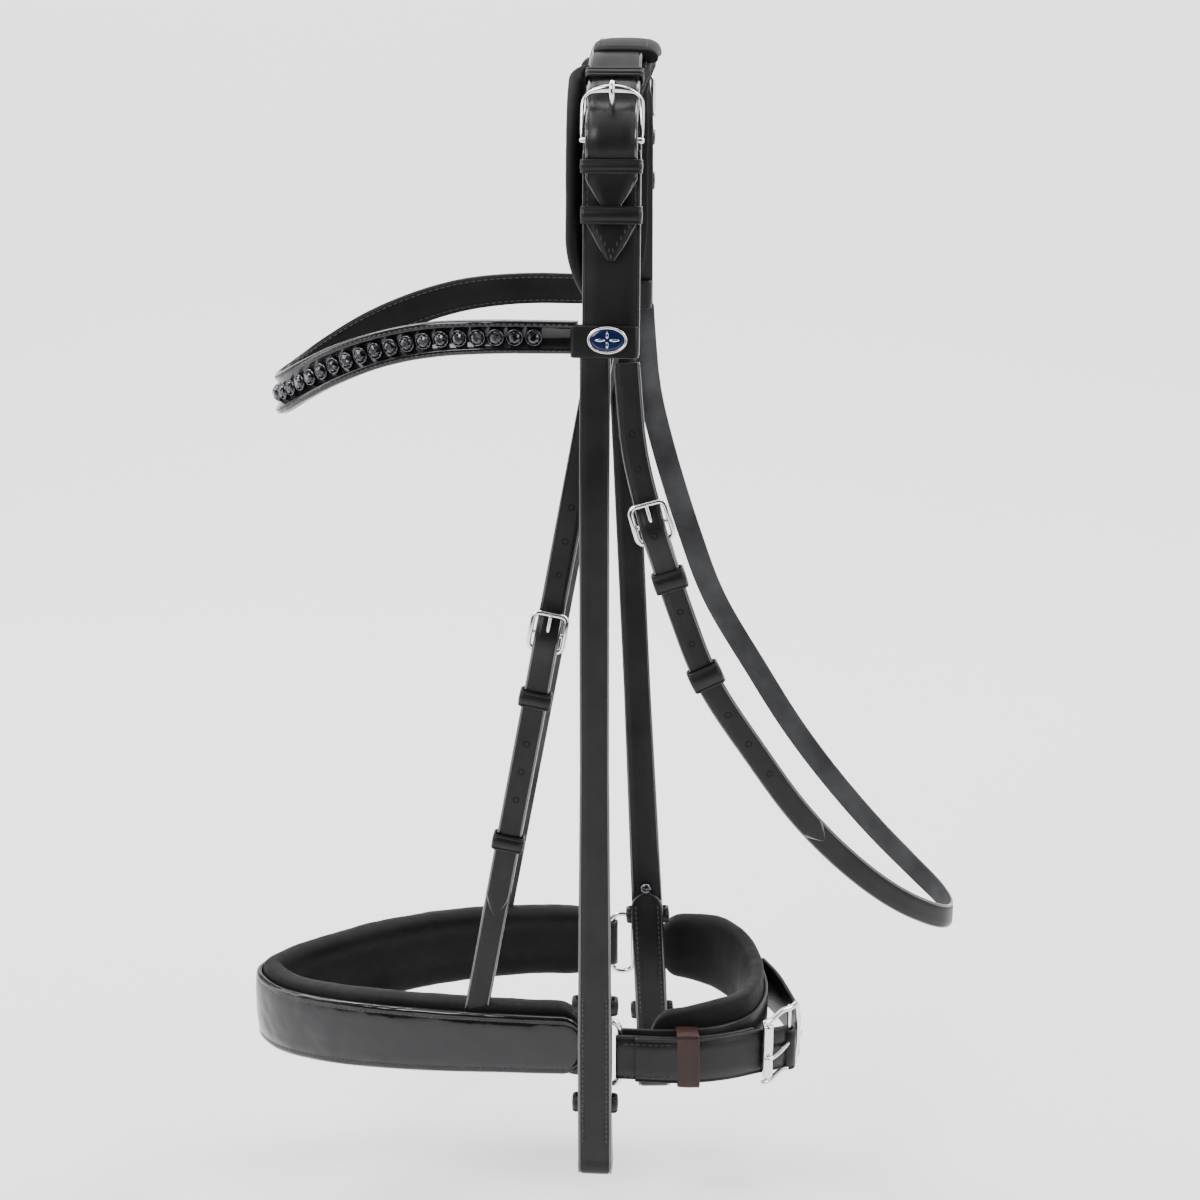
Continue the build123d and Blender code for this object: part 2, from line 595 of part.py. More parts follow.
# ================= noseband =================
nose_plan = [(-13, -68.0), (-50, -67.5), (-90, -63.5), (-130, -54.5), (-165, -41.0), (-195, -21.0),
             (-207, 0)]
nose_plan = nose_plan + [(x, -y) for x, y in reversed(nose_plan[:-1])]
patent_top = [(-225, -507), (-190, -505.5), (-150, -501), (-110, -497.5), (-60, -495.5), (0, -495.5)]
patent_bottom = [(-225, -549), (-190, -546), (-150, -540.5), (-110, -535.5), (-60, -531), (0, -529.5)]
pad_top = [(x, z + 4.0) for x, z in patent_top]
pad_bottom = [(x, z - 3.0) for x, z in patent_bottom]
PATENT, PAD = 3.2, 9.0
PAD_GAP = 7.4                 # hangers are sewn in between patent and pad
nosepiece_patent = looped_band(nose_plan, offset_line(nose_plan, -PATENT), patent_top, patent_bottom)
save(nosepiece_patent, "nosepiece_patent")
pad_plan = [(-18, -68.0)] + nose_plan[1:-1] + [(-18, 68.0)]
nosepiece_pad = looped_band(offset_line(pad_plan, -PAD_GAP), offset_line(pad_plan, -PAD_GAP - PAD),
                            pad_top, pad_bottom)
save(nosepiece_pad, "nosepiece_pad")

# Rings: tall rounded links; the nosepiece's tabs fold round their front legs.
RING_WIDTH, RING_HEIGHT, RING_ROD = 16.0, 41.0, 3.2
RING_X, RING_Y, RING_Z = -1.0, 65.5, -516.5
FRONT_LEG = RING_X - (RING_WIDTH - RING_ROD) / 2
REAR_LEG = RING_X + (RING_WIDTH - RING_ROD) / 2
FOLD_IN, FOLD_OUT = 2.4, 4.5  # radii of the leather folds round the ring's legs
STRAP_TOP, STRAP_BOTTOM = -503.0, -530.0
for side in (NEAR, FAR):
    with BuildPart() as ring:
        with BuildSketch(Plane.XZ.offset(-side * RING_Y)):
            with Locations((RING_X, RING_Z)):
                RectangleRounded(RING_WIDTH, RING_HEIGHT, 6.4)
                RectangleRounded(RING_WIDTH - 2 * RING_ROD, RING_HEIGHT - 2 * RING_ROD, 3.2,
                                 mode=Mode.SUBTRACT)
        extrude(amount=RING_ROD / 2, both=True)
    save(ring, f"{side_name(side)}_ring")
    with BuildPart() as tab:
        with BuildSketch(Plane.XY.offset(STRAP_BOTTOM)):
            with Locations((FRONT_LEG, side * RING_Y)):
                Circle(FOLD_OUT)
            with Locations((FRONT_LEG - 8, side * (RING_Y - 3.5))):
                Rectangle(16, 1.0)
            with Locations((FRONT_LEG, side * RING_Y)):
                Circle(FOLD_IN, mode=Mode.SUBTRACT)
        extrude(amount=STRAP_TOP - STRAP_BOTTOM)
    save(tab, f"{side_name(side)}_ring_tab")

# ================= chin group =================
chin_plan = [(REAR_LEG, -62.0), (30, -61.8), (46, -59.5), (61, -52.5), (74, -38), (81, -18),
             (83, 0)]
chin_plan = chin_plan + [(x, -y) for x, y in reversed(chin_plan[:-1])]
billet_plan = [(REAR_LEG, -68.8), (25, -68.8), (45, -66.6), (62, -59.5), (76, -49.5), (88, -38.5)]
chin_top = [(-10, -503), (20, -503), (50, -503), (80, -507), (104, -521)]
chin_bottom = [(-10, -530), (20, -530), (50, -530.5), (80, -534.5), (104, -541)]
inner_strap = looped_band(offset_line(chin_plan, -LEATHER), chin_plan, chin_top, chin_bottom)
outer_strap = looped_band(offset_line(billet_plan, -LEATHER), billet_plan, chin_top, chin_bottom)
with BuildPart() as chin_strap:
    add(inner_strap.part)
    add(outer_strap.part)
    for side in (NEAR, FAR):
        with BuildSketch(Plane.XY.offset(STRAP_BOTTOM)):
            with Locations((REAR_LEG, side * RING_Y)):
                Circle(FOLD_OUT)
        extrude(amount=STRAP_TOP - STRAP_BOTTOM)
        with BuildSketch(Plane.XY.offset(STRAP_BOTTOM - 2)):
            with Locations((REAR_LEG, side * RING_Y)):
                Circle(FOLD_IN)
        extrude(amount=STRAP_TOP - STRAP_BOTTOM + 4, mode=Mode.SUBTRACT)
save(chin_strap, "chin_strap")

chin_pad_plan = [(20, -62)] + chin_plan[1:-1] + [(20, 62)]
chin_pad = looped_band(offset_line(chin_pad_plan, 0.5), offset_line(chin_pad_plan, 10.5),
                       [(0, -494), (20, -493), (50, -490.5), (84, -497)],
                       [(0, -533), (20, -534), (50, -537.5), (84, -542)])
save(chin_pad, "chin_pad")

# Roller buckle of the crank closure.
ROLLER_AT, BAR_AT = (85.0, -52.4), (96.6, -35.0)
ARM_TOP, ARM_BOTTOM, ARM = -502.5, -536.5, 2.4
with BuildPart() as chin_buckle:
    for low in (ARM_TOP, ARM_BOTTOM - ARM):
        with BuildSketch(Plane.XY.offset(low)):
            with Locations(ROLLER_AT):
                Circle(2.6)
            with Locations(BAR_AT):
                Circle(2.6)
            make_hull()
        extrude(amount=ARM)
    with BuildSketch(Plane.XY.offset(ARM_BOTTOM)):
        with Locations(ROLLER_AT):
            Circle(1.1)
        with Locations(BAR_AT):
            Circle(1.5)
    extrude(amount=ARM_TOP - ARM_BOTTOM)
save(chin_buckle, "chin_buckle")
with BuildPart() as chin_roller:
    with BuildSketch(Plane.XY.offset(ARM_BOTTOM + 0.4)):
        with Locations(ROLLER_AT):
            Circle(2.9)
            Circle(1.18, mode=Mode.SUBTRACT)
    extrude(amount=ARM_TOP - ARM_BOTTOM - 0.8)
save(chin_roller, "chin_roller")

chape_plan = [(97.6, -32.0), (101.5, -22), (102.0, -10), (98.5, 4), (91, 19), (82, 34)]
chin_wrap = looped_band(offset_line(chape_plan, 1.1), offset_line(chape_plan, -1.1),
                        [(70, -508), (90, -511), (104, -518)], [(70, -530), (90, -537), (104, -541)])
RIVET_AT, RIVET_Z = (102.4, -16.0), -528.0
with BuildPart() as chin_chape:
    add(chin_wrap.part)
    with BuildSketch(Plane.XY.offset(-532)):
        with Locations(BAR_AT):
            Circle(4.0)
    extrude(amount=20)
    with BuildSketch(Plane.XY.offset(-545)):
        with Locations(BAR_AT):
            Circle(1.8)
    extrude(amount=50, mode=Mode.SUBTRACT)
    with BuildSketch(Plane.XY.offset(-524)):          # gap for the tongue's eye
        with Locations(BAR_AT):
            Circle(4.8)
    extrude(amount=4, mode=Mode.SUBTRACT)
    with BuildSketch(Plane.YZ.offset(90)):            # hole for the rivet
        with Locations((RIVET_AT[1], RIVET_Z)):
            Circle(1.5)
    extrude(amount=20, mode=Mode.SUBTRACT)
save(chin_chape, "chin_chape")
with BuildPart() as chin_rivet:
    with BuildSketch(Plane.YZ.offset(RIVET_AT[0] - 2.6)):
        with Locations((RIVET_AT[1], RIVET_Z)):
            Circle(1.45)
    extrude(amount=4.5)
    with BuildSketch(Plane.YZ.offset(RIVET_AT[0] + 1.3)):
        with Locations((RIVET_AT[1], RIVET_Z)):
            Circle(2.6)
    extrude(amount=1.0)
save(chin_rivet, "chin_rivet")
bar_point = Vector(*BAR_AT, -522)
roller_point = Vector(*ROLLER_AT, -522)
reach = (roller_point - bar_point).normalized()
off_horse = Vector(reach.Y, -reach.X, 0)
if off_horse.X < 0:
    off_horse = off_horse * -1
tip_point = roller_point + reach * 1.5 + off_horse * 4.4
chin_tongue = buckle_tongue(tuple(bar_point), tuple(tip_point), (0, 0, 1), 1.0, 1.65, 2.7, 1.5)
save(chin_tongue, "chin_tongue")

# Brown runner on the doubled strap, and two keepers on the far side.
RUNNER_X, RUNNER_LENGTH = 42.0, 12.0
RUNNER_INSIDE = (7.0, 31.0)   # across the doubled strap, and up it
RUNNER_WALL = 1.2
with BuildPart() as chin_runner:
    with BuildSketch(Plane.YZ.offset(RUNNER_X - RUNNER_LENGTH / 2)):
        with Locations((-68.3, -516.4)):
            Rectangle(RUNNER_INSIDE[0] + 2 * RUNNER_WALL, RUNNER_INSIDE[1] + 2 * RUNNER_WALL)
            Rectangle(*RUNNER_INSIDE, mode=Mode.SUBTRACT)
    extrude(amount=RUNNER_LENGTH)
save(chin_runner, "chin_runner")
with BuildPart() as chin_keepers:
    for x, y, turn in ((45.5, 62.2, -17), (62.6, 54.6, -37)):
        strap_plane = Plane(origin=(x, y, -517.5), x_dir=(0, 0, -1),
                            z_dir=Vector(1, 0, 0).rotate(Axis.Z, turn))
        add(strap_staple(strap_plane, 30.0, 2.2, 1.2, 9.0).part)
save(chin_keepers, "chin_keepers")
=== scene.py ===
from math import ceil, cos, pi, radians, sin

import bmesh
import bpy
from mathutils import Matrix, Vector


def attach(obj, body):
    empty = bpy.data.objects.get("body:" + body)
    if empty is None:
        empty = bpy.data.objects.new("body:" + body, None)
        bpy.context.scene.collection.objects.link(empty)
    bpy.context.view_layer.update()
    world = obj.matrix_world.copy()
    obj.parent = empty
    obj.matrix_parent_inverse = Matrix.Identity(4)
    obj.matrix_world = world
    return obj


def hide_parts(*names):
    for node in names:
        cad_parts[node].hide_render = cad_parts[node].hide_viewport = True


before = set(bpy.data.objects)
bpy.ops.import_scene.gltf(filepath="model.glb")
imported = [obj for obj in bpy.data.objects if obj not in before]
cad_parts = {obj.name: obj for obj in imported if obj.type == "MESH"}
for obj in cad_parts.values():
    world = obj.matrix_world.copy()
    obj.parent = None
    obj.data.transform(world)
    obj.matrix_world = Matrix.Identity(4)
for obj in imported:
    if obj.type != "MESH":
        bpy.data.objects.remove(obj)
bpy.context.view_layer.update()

# Snaffle bridle.  Lengths here are millimetres, turned into metres where a mesh is made.
MM = 0.001
NEAR, FAR = -1, 1
SIDES = ((NEAR, "near"), (FAR, "far"))
FRONT_TO_BACK, UP = Vector((1, 0, 0)), Vector((0, 0, 1))


# ------------------------------------------------------------------ materials
def new_material(name, colour, roughness, metallic=0.0, coat=0.0, coat_roughness=0.03, specular=0.32,
                 sheen=0.0):
    """Principled material with plain values; textures are linked to its sockets afterwards."""
    material = bpy.data.materials.new(name)
    material.use_nodes = True
    shader = material.node_tree.nodes["Principled BSDF"]
    shader.inputs["Base Color"].default_value = (*colour, 1)
    shader.inputs["Roughness"].default_value = roughness
    shader.inputs["Metallic"].default_value = metallic
    shader.inputs["Coat Weight"].default_value = coat
    shader.inputs["Coat Roughness"].default_value = coat_roughness
    shader.inputs["Specular IOR Level"].default_value = specular
    shader.inputs["Sheen Weight"].default_value = sheen
    return material


def node(material, kind, **values):
    made = material.node_tree.nodes.new(kind)
    for key, value in values.items():
        if key in made.inputs:
            made.inputs[key].default_value = value
        else:
            setattr(made, key, value)
    return made


def link(material, source, target):
    material.node_tree.links.new(source, target)


def object_texture(material, kind, **values):
    """Texture node on the object's own coordinates, in metres."""
    place = node(material, "ShaderNodeTexCoord")
    texture = node(material, kind, **values)
    link(material, place.outputs["Object"], texture.inputs["Vector"])
    return texture


def colour_ramp(material, source, stops):
    ramp = node(material, "ShaderNodeValToRGB")
    ramp.color_ramp.elements[0].position = stops[0][0]
    ramp.color_ramp.elements[0].color = (*stops[0][1], 1)
    ramp.color_ramp.elements[1].position = stops[-1][0]
    ramp.color_ramp.elements[1].color = (*stops[-1][1], 1)
    for position, colour in stops[1:-1]:
        element = ramp.color_ramp.elements.new(position)
        element.color = (*colour, 1)
    link(material, source, ramp.inputs["Fac"])
    return ramp.outputs["Color"]


def map_range(material, source, low, high):
    spread = node(material, "ShaderNodeMapRange")
    spread.inputs["To Min"].default_value = low
    spread.inputs["To Max"].default_value = high
    link(material, source, spread.inputs["Value"])
    return spread.outputs["Result"]


def add_bump(material, heights, previous=None):
    """Chain of bumps; heights lists (socket, strength, distance in metres)."""
    shader = material.node_tree.nodes["Principled BSDF"]
    for socket, strength, distance in heights:
        bump = node(material, "ShaderNodeBump")
        bump.inputs["Strength"].default_value = strength
        bump.inputs["Distance"].default_value = distance
        link(material, socket, bump.inputs["Height"])
        if previous is not None:
            link(material, previous, bump.inputs["Normal"])
        previous = bump.outputs["Normal"]
    link(material, previous, shader.inputs["Normal"])


def leather_material(name, dark, light, rough_low, rough_high, grain, depth, coat=0.0, sheen=0.0,
                     coat_roughness=0.25, specular=0.2):
    """Leather: pebbled grain of the given cells per metre, cloudy wax and fine pores."""
    material = new_material(name, dark, rough_low, coat=coat, sheen=sheen,
                            coat_roughness=coat_roughness, specular=specular)
    shader = material.node_tree.nodes["Principled BSDF"]
    clouds = object_texture(material, "ShaderNodeTexNoise", Scale=38.0, Detail=5.0)
    cells = object_texture(material, "ShaderNodeTexVoronoi", Scale=grain)
    pores = object_texture(material, "ShaderNodeTexNoise", Scale=grain * 2.2, Detail=3.0)
    colour = colour_ramp(material, clouds.outputs["Fac"], [(0.30, dark), (0.72, light)])
    link(material, colour, shader.inputs["Base Color"])
    link(material, map_range(material, clouds.outputs["Fac"], rough_low, rough_high),
         shader.inputs["Roughness"])
    add_bump(material, [(cells.outputs["Distance"], 0.55, depth), (pores.outputs["Fac"], 0.3, depth * 0.6),
                        (clouds.outputs["Fac"], 0.12, depth * 4)])
    return material


LEATHER = leather_material("black_bridle_leather", (0.0045, 0.0045, 0.005), (0.011, 0.011, 0.012),
                           0.30, 0.46, 1500.0, 0.00007, coat=0.06, coat_roughness=0.2)
# Strap edges: the coat and high specular are the real gloss of a burnished edge; their lighter colour than
# the face is a painted highlight on the bevels.
EDGE = leather_material("burnished_edge_painted_highlight", (0.010, 0.010, 0.011), (0.024, 0.024, 0.025),
                        0.18, 0.30, 2400.0, 0.00003, coat=0.8, coat_roughness=0.12, specular=0.7)
FLESH = leather_material("flesh_side_leather", (0.022, 0.022, 0.024), (0.060, 0.061, 0.064),
                         0.62, 0.85, 1100.0, 0.00018)
NAPPA = leather_material("black_nappa", (0.0030, 0.0030, 0.0033), (0.008, 0.008, 0.0085),
                         0.55, 0.72, 900.0, 0.00012, sheen=0.02, specular=0.12)
BROWN = leather_material("brown_leather", (0.012, 0.0045, 0.003), (0.026, 0.010, 0.007),
                         0.36, 0.52, 1500.0, 0.00007, coat=0.15, coat_roughness=0.25)


def patent_material():
    """Patent leather: glossy lacquer over slow ripples."""
    material = new_material("black_patent", (0.003, 0.003, 0.0035), 0.22, coat=0.55, coat_roughness=0.03,
                            specular=0.12)
    shader = material.node_tree.nodes["Principled BSDF"]
    ripples = object_texture(material, "ShaderNodeTexNoise", Scale=34.0, Detail=2.0)
    fine = object_texture(material, "ShaderNodeTexNoise", Scale=210.0, Detail=2.0)
    colour = colour_ramp(material, fine.outputs["Fac"], [(0.3, (0.003, 0.003, 0.0035)),
                                                         (0.8, (0.007, 0.007, 0.008))])
    link(material, colour, shader.inputs["Base Color"])
    add_bump(material, [(ripples.outputs["Fac"], 0.8, 0.0030), (fine.outputs["Fac"], 0.25, 0.0003)])
    normal = shader.inputs["Normal"].links[0].from_socket
    link(material, normal, shader.inputs["Coat Normal"])
    return material


def steel_material(name, colour, low, high):
    """Polished steel with faint brushing and handling marks."""
    material = new_material(name, colour, low, metallic=1.0)
    shader = material.node_tree.nodes["Principled BSDF"]
    smears = object_texture(material, "ShaderNodeTexNoise", Scale=160.0, Detail=4.0)
    scratches = object_texture(material, "ShaderNodeTexNoise", Scale=1800.0, Detail=2.0)
    link(material, map_range(material, smears.outputs["Fac"], low, high), shader.inputs["Roughness"])
    add_bump(material, [(scratches.outputs["Fac"], 0.08, 0.00003)])
    return material


def thread_material():
    """Waxed thread, with the twist of its strands as bumps, and painted shade and highlight in its colour.
    """
    material = new_material("black_waxed_thread", (0.045, 0.045, 0.048), 0.45, sheen=0.1)
    shader = material.node_tree.nodes["Principled BSDF"]
    twist = object_texture(material, "ShaderNodeTexWave", Scale=900.0, Distortion=1.5)
    # Colour follows the twist's bump: darker in the grooves between strands as painted shade, lighter on the
    # strand tops as painted highlight.
    colour = colour_ramp(material, twist.outputs["Fac"], [(0.2, (0.008, 0.008, 0.009)),
                                                          (0.9, (0.040, 0.040, 0.043))])
    link(material, colour, shader.inputs["Base Color"])
    add_bump(material, [(twist.outputs["Fac"], 0.5, 0.00008)])
    return material


def crystal_material():
    """Cut black crystal: dark glassy body with a hard polish, and lighter patches in its colour as painted
    inner reflections.
    """
    material = new_material("black_crystal", (0.004, 0.004, 0.006), 0.03, coat=0.25, specular=0.45)
    shader = material.node_tree.nodes["Principled BSDF"]
    depth = object_texture(material, "ShaderNodeTexNoise", Scale=420.0, Detail=1.0)
    # Lighter patches from this noise stand in for light seen inside the glass: painted inner reflections.
    colour = colour_ramp(material, depth.outputs["Fac"], [(0.42, (0.001, 0.001, 0.002)),
                                                          (0.70, (0.05, 0.05, 0.06))])
    link(material, colour, shader.inputs["Base Color"])
    return material


def enamel_material():
    material = new_material("navy_enamel", (0.003, 0.008, 0.045), 0.25, coat=0.5, specular=0.3)
    shader = material.node_tree.nodes["Principled BSDF"]
    mottle = object_texture(material, "ShaderNodeTexNoise", Scale=500.0, Detail=3.0)
    colour = colour_ramp(material, mottle.outputs["Fac"], [(0.3, (0.003, 0.007, 0.040)),
                                                           (0.8, (0.005, 0.013, 0.060))])
    link(material, colour, shader.inputs["Base Color"])
    return material


PATENT = patent_material()
STEEL = steel_material("polished_steel", (0.74, 0.74, 0.75), 0.10, 0.24)
DARK_METAL = steel_material("dark_cups", (0.10, 0.10, 0.11), 0.16, 0.30)
THREAD = thread_material()
CRYSTAL = crystal_material()
ENAMEL = enamel_material()
# Near-black rough leather for punched holes and slots: their closed dark mouths are painted shade where the
# holes would be open.
HOLE_PAINTED_SHADE = leather_material("punched_hole_painted_shade", (0.001, 0.001, 0.001), (0.004, 0.004, 0.004), 0.8, 0.95,
                        1500.0, 0.00005)


# ------------------------------------------------------------------ curves
SPAN_STEP = 0.8          # spacing of the first points of a smooth line, before they are evened out


def smooth(points, step=2.0):
    """Points every step mm along a smooth line through the given ones (any dimension)."""
    pts = [Vector(p) for p in points]
    fine = []
    for i in range(len(pts) - 1):
        a, b = pts[max(i - 1, 0)], pts[i]
        c, d = pts[i + 1], pts[min(i + 2, len(pts) - 1)]
        count = max(6, int((c - b).length / SPAN_STEP))
        t_ab, t_bc, t_cd = (max((q - p).length, 1e-6) ** 0.5 for p, q in ((a, b), (b, c), (c, d)))
        m1 = (c - b) if i == 0 else (c - b) + t_bc * ((b - a) / t_ab - (c - a) / (t_ab + t_bc))
        last = i == len(pts) - 2
        m2 = (c - b) if last else (c - b) + t_bc * ((d - c) / t_cd - (d - b) / (t_bc + t_cd))
        for k in range(count):
            t = k / count
            fine.append((2 * t**3 - 3 * t**2 + 1) * b + (t**3 - 2 * t**2 + t) * m1
                        + (-2 * t**3 + 3 * t**2) * c + (t**3 - t**2) * m2)
    fine.append(pts[-1])
    return resample(fine, step)


def smooth2(points, step):
    """Smooth line through flat (x, y) pairs."""
    return [(v.x, v.y) for v in smooth([(a, b, 0) for a, b in points], step)]


def resample(points, step):
    """Evenly spaced points, about step apart, along a run of points."""
    lengths = [0.0]
    for a, b in zip(points, points[1:]):
        lengths.append(lengths[-1] + (b - a).length)
    count = max(2, int(ceil(lengths[-1] / step)))
    out, k = [], 0
    for i in range(count + 1):
        goal = lengths[-1] * i / count
        while k < len(points) - 2 and lengths[k + 1] < goal:
            k += 1
        span = max(lengths[k + 1] - lengths[k], 1e-9)
        out.append(points[k].lerp(points[k + 1], min(1, (goal - lengths[k]) / span)))
    return out


def tangents(points, closed=False):
    """Unit direction of a run of points at each of them."""
    n = len(points)
    out = []
    for i in range(n):
        before = points[i - 1] if closed or i > 0 else points[0]
        after = points[(i + 1) % n] if closed or i < n - 1 else points[-1]
        out.append((after - before).normalized())
    return out


def ease(f):
    """Soft step from 0 to 1 while f goes from 0 to 1."""
    f = min(max(f, 0.0), 1.0)
    return 3 * f**2 - 2 * f**3


def circle(centre, u, v, radius, count, radius_v=None):
    """Ring of points round centre in the plane of u and v; radius_v makes it an ellipse."""
    radius_v = radius if radius_v is None else radius_v
    turns = [2 * pi * k / count for k in range(count)]
    return [centre + u * (radius * cos(a)) + v * (radius_v * sin(a)) for a in turns]


def lookup(pairs, x):
    """Straight-line value between (x, value) pairs."""
    if x <= pairs[0][0]:
        return pairs[0][1]
    for (x0, v0), (x1, v1) in zip(pairs, pairs[1:]):
        if x <= x1:
            return v0 + (v1 - v0) * (x - x0) / (x1 - x0)
    return pairs[-1][1]


class Track:
    """Middle line of a strap with, at each point, its tangent, outward normal and width axis."""

    def __init__(self, points, normals):
        self.points = points
        self.along = tangents(points)
        self.out = []
        for tangent, normal in zip(self.along, normals):
            self.out.append((normal - tangent * normal.dot(tangent)).normalized())
        self.across = [t.cross(n) for t, n in zip(self.along, self.out)]
        self.station = [0.0]
        for a, b in zip(points, points[1:]):
            self.station.append(self.station[-1] + (b - a).length)
        self.length = self.station[-1]

    def at(self, distance, across=0.0, out=0.0):
        """Point, tangent, normal and width axis at a distance along the strap."""
        k = 0
        while k < len(self.station) - 2 and self.station[k + 1] < distance:
            k += 1
        f = (distance - self.station[k]) / max(self.station[k + 1] - self.station[k], 1e-9)
        place = self.points[k].lerp(self.points[k + 1], f)
        normal = self.out[k].lerp(self.out[k + 1], f).normalized()
        tangent = self.along[k].lerp(self.along[k + 1], f).normalized()
        side = tangent.cross(normal).normalized()
        return place + side * across + normal * out, tangent, normal, side

    def part(self, start, end, step=2.0):
        """The stretch from start to end, evenly spaced."""
        count = max(2, int((end - start) / step))
        samples = [self.at(start + (end - start) * i / count) for i in range(count + 1)]
        return Track([s[0] for s in samples], [s[2] for s in samples])


# ------------------------------------------------------------------ meshes
def finish_piece(name, bm, material, body, smooth_shade=True, replaces=(), extra=()):
    """Turn a bmesh in millimetres into a piece of the scene that rides on its body."""
    mesh = bpy.data.meshes.new(name)
    bmesh.ops.recalc_face_normals(bm, faces=bm.faces)
    bmesh.ops.scale(bm, vec=(MM, MM, MM), verts=bm.verts)
    bm.to_mesh(mesh)
    bm.free()
    for face in mesh.polygons:
        face.use_smooth = smooth_shade
    piece = bpy.data.objects.new(name, mesh)
    bpy.context.scene.collection.objects.link(piece)
    for each in (material, *extra):
        mesh.materials.append(each)
    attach(piece, body)
    if replaces:
        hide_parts(*replaces)
    return piece


def bridge_rings(bm, rings, close_section=True, cap=True, loop=False):
    """Skin a list of equal rings of points; loop joins the last ring to the first."""
    made = [[bm.verts.new(p) for p in ring] for ring in rings]
    n = len(made[0])
    pairs = list(zip(made, made[1:])) + ([(made[-1], made[0])] if loop else [])
    faces = []
    for one, two in pairs:
        for i in range(n if close_section else n - 1):
            j = (i + 1) % n
            faces.append(bm.faces.new((one[i], one[j], two[j], two[i])))
    if cap and not loop:
        bm.faces.new(list(reversed(made[0])))
        bm.faces.new(made[-1])
    return faces


def turned(bm, centre, u, v, axis, profile, count, loop=False):
    """Round body from (radius, height along its axis) pairs."""
    bridge_rings(bm, [circle(centre + axis * h, u, v, r, count) for r, h in profile], loop=loop)


def strap_section(width, thickness, crease=1.6, dome=0.25, edge=0.5):
    """Cross-section of a strap: rounded edges, a pressed crease near each, a slight dome.

    Returns (across, out, kind) points; kind is 0 on the face, 1 on the back, 2 on a burnished edge, glossier
    than the face, with a lighter colour that is a painted highlight."""
    h, t = width / 2, thickness / 2
    r = min(edge, t * 0.9)
    upper = [(-h, 0, 2), (-h + r * 0.3, t - r * 0.35, 2), (-h + r, t, 2)]
    if crease and width > 8:
        upper += [(-h + crease - 0.55, t + 0.06, 2), (-h + crease - 0.18, t - 0.42, 2),
                  (-h + crease + 0.12, t - 0.42, 0), (-h + crease + 0.6, t + 0.12, 0)]
    upper += [(-h * 0.4, t + dome * 0.8, 0)]
    mirrored = [(-x, y, b) for x, y, b in reversed(upper)]
    lower = [(h - r * 0.3, -t + r * 0.35, 1), (h - r, -t, 1), (0, -t, 1), (-h + r, -t, 1),
             (-h + r * 0.3, -t + r * 0.35, 1)]
    return upper + [(0, t + dome, 0)] + mirrored + lower


def two_faced_section(width, thickness, crease=1.6):
    """Section of a strap that is finished and creased on both sides."""
    face = [p for p in strap_section(width, thickness, crease, 0.15) if p[2] != 1]
    return face + [(-u, -v, kind) for u, v, kind in face[1:-1]]


def ribbon(name, track, width, thickness, material, body, replaces=(), crease=1.6, dome=0.2,
           tip=None, head=None, widths=None, back=None, two_faced=False):
    """Leather strap along a track.  tip and head are "point", "round" or None for a square end."""
    whole = two_faced_section(width, thickness) if two_faced else \
        strap_section(width, thickness, crease, dome)
    rings = []
    for i, centre in enumerate(track.points):
        d = track.station[i]
        w = lookup(widths, d) if widths else width
        for kind, gap in ((head, d), (tip, track.length - d)):
            reach = w * (0.75 if kind == "point" else 0.5)
            if kind and gap < reach:
                f = max(gap / reach, 0.03)
                w *= f ** 0.75 * 0.92 + 0.08 if kind == "point" else (1 - (1 - f) ** 2) ** 0.5
        rings.append([centre + track.across[i] * (u * w / width) + track.out[i] * v for u, v, _ in whole])
    rings.insert(0, softened_end(rings[0], -track.along[0]))
    rings.append(softened_end(rings[-1], track.along[-1]))
    bm = bmesh.new()
    mark_faces(bridge_rings(bm, rings), [kind for _, _, kind in whole])
    return finish_piece(name, bm, material, body, True, replaces, (back or material, EDGE))


def softened_end(ring, outward):
    """Slightly smaller ring a little beyond a strap's end, so that its corner isn't sharp."""
    middle = sum(ring, Vector((0, 0, 0))) / len(ring)
    return [middle + (p - middle) * 0.96 + outward * 0.35 for p in ring]


def mark_faces(faces, kinds):
    """Material index of each lengthwise face of a strap, from the kinds of its two edges."""
    n = len(kinds)
    for k, face in enumerate(faces):
        one, two = kinds[k % n], kinds[(k + 1) % n]
        face.material_index = one if one == two else 0


def tube(name, points, radius, material, body, replaces=(), closed=False, sides=14, flat=1.0,
         out=None):
    """Round rod along points, with rounded ends; radius may be a list, flat squashes it along out."""
    along = tangents(points, closed)
    bm = bmesh.new()
    rings = []
    normal = (out or Vector((0.31, 0.52, 0.79))).normalized()
    for i, (p, t) in enumerate(zip(points, along)):
        normal = (normal - t * normal.dot(t)).normalized() if out is None else \
            (out - t * out.dot(t)).normalized()
        side = t.cross(normal)
        r = radius[i] if isinstance(radius, list) else radius
        rings.append(circle(p, side, normal, r, sides, r * flat))
    if not closed:
        for index, sign in ((0, -1), (-1, 1)):
            base, centre = rings[index], points[index]
            r = radius[index] if isinstance(radius, list) else radius
            caps = [[centre + (p - centre) * f + along[index] * sign * r * g for p in base]
                    for f, g in ((0.85, 0.45), (0.5, 0.8))]
            rings = list(reversed(caps)) + rings if index == 0 else rings + caps
    bridge_rings(bm, rings, cap=not closed, loop=closed)
    return finish_piece(name, bm, material, body, True, replaces)


def stitches(name, track, rows, body, start=0.0, end=None, pitch=3.1, out=1.2, radius=0.32):
    """Rows of thread stitches standing just proud of a strap's face.

    rows lists each row's place across the strap: a number, or a function of the distance along it."""
    end = track.length if end is None else end
    bm = bmesh.new()
    count = max(1, int((end - start) / pitch))
    for row in rows:
        for i in range(count):
            d = start + (i + 0.5) * (end - start) / count
            offset = row(d) if callable(row) else row
            place, tangent, normal, side = track.at(d, offset, out)
            add_stitch(bm, place, tangent, normal, pitch * 0.36, radius)
    return finish_piece(name, bm, THREAD, body)


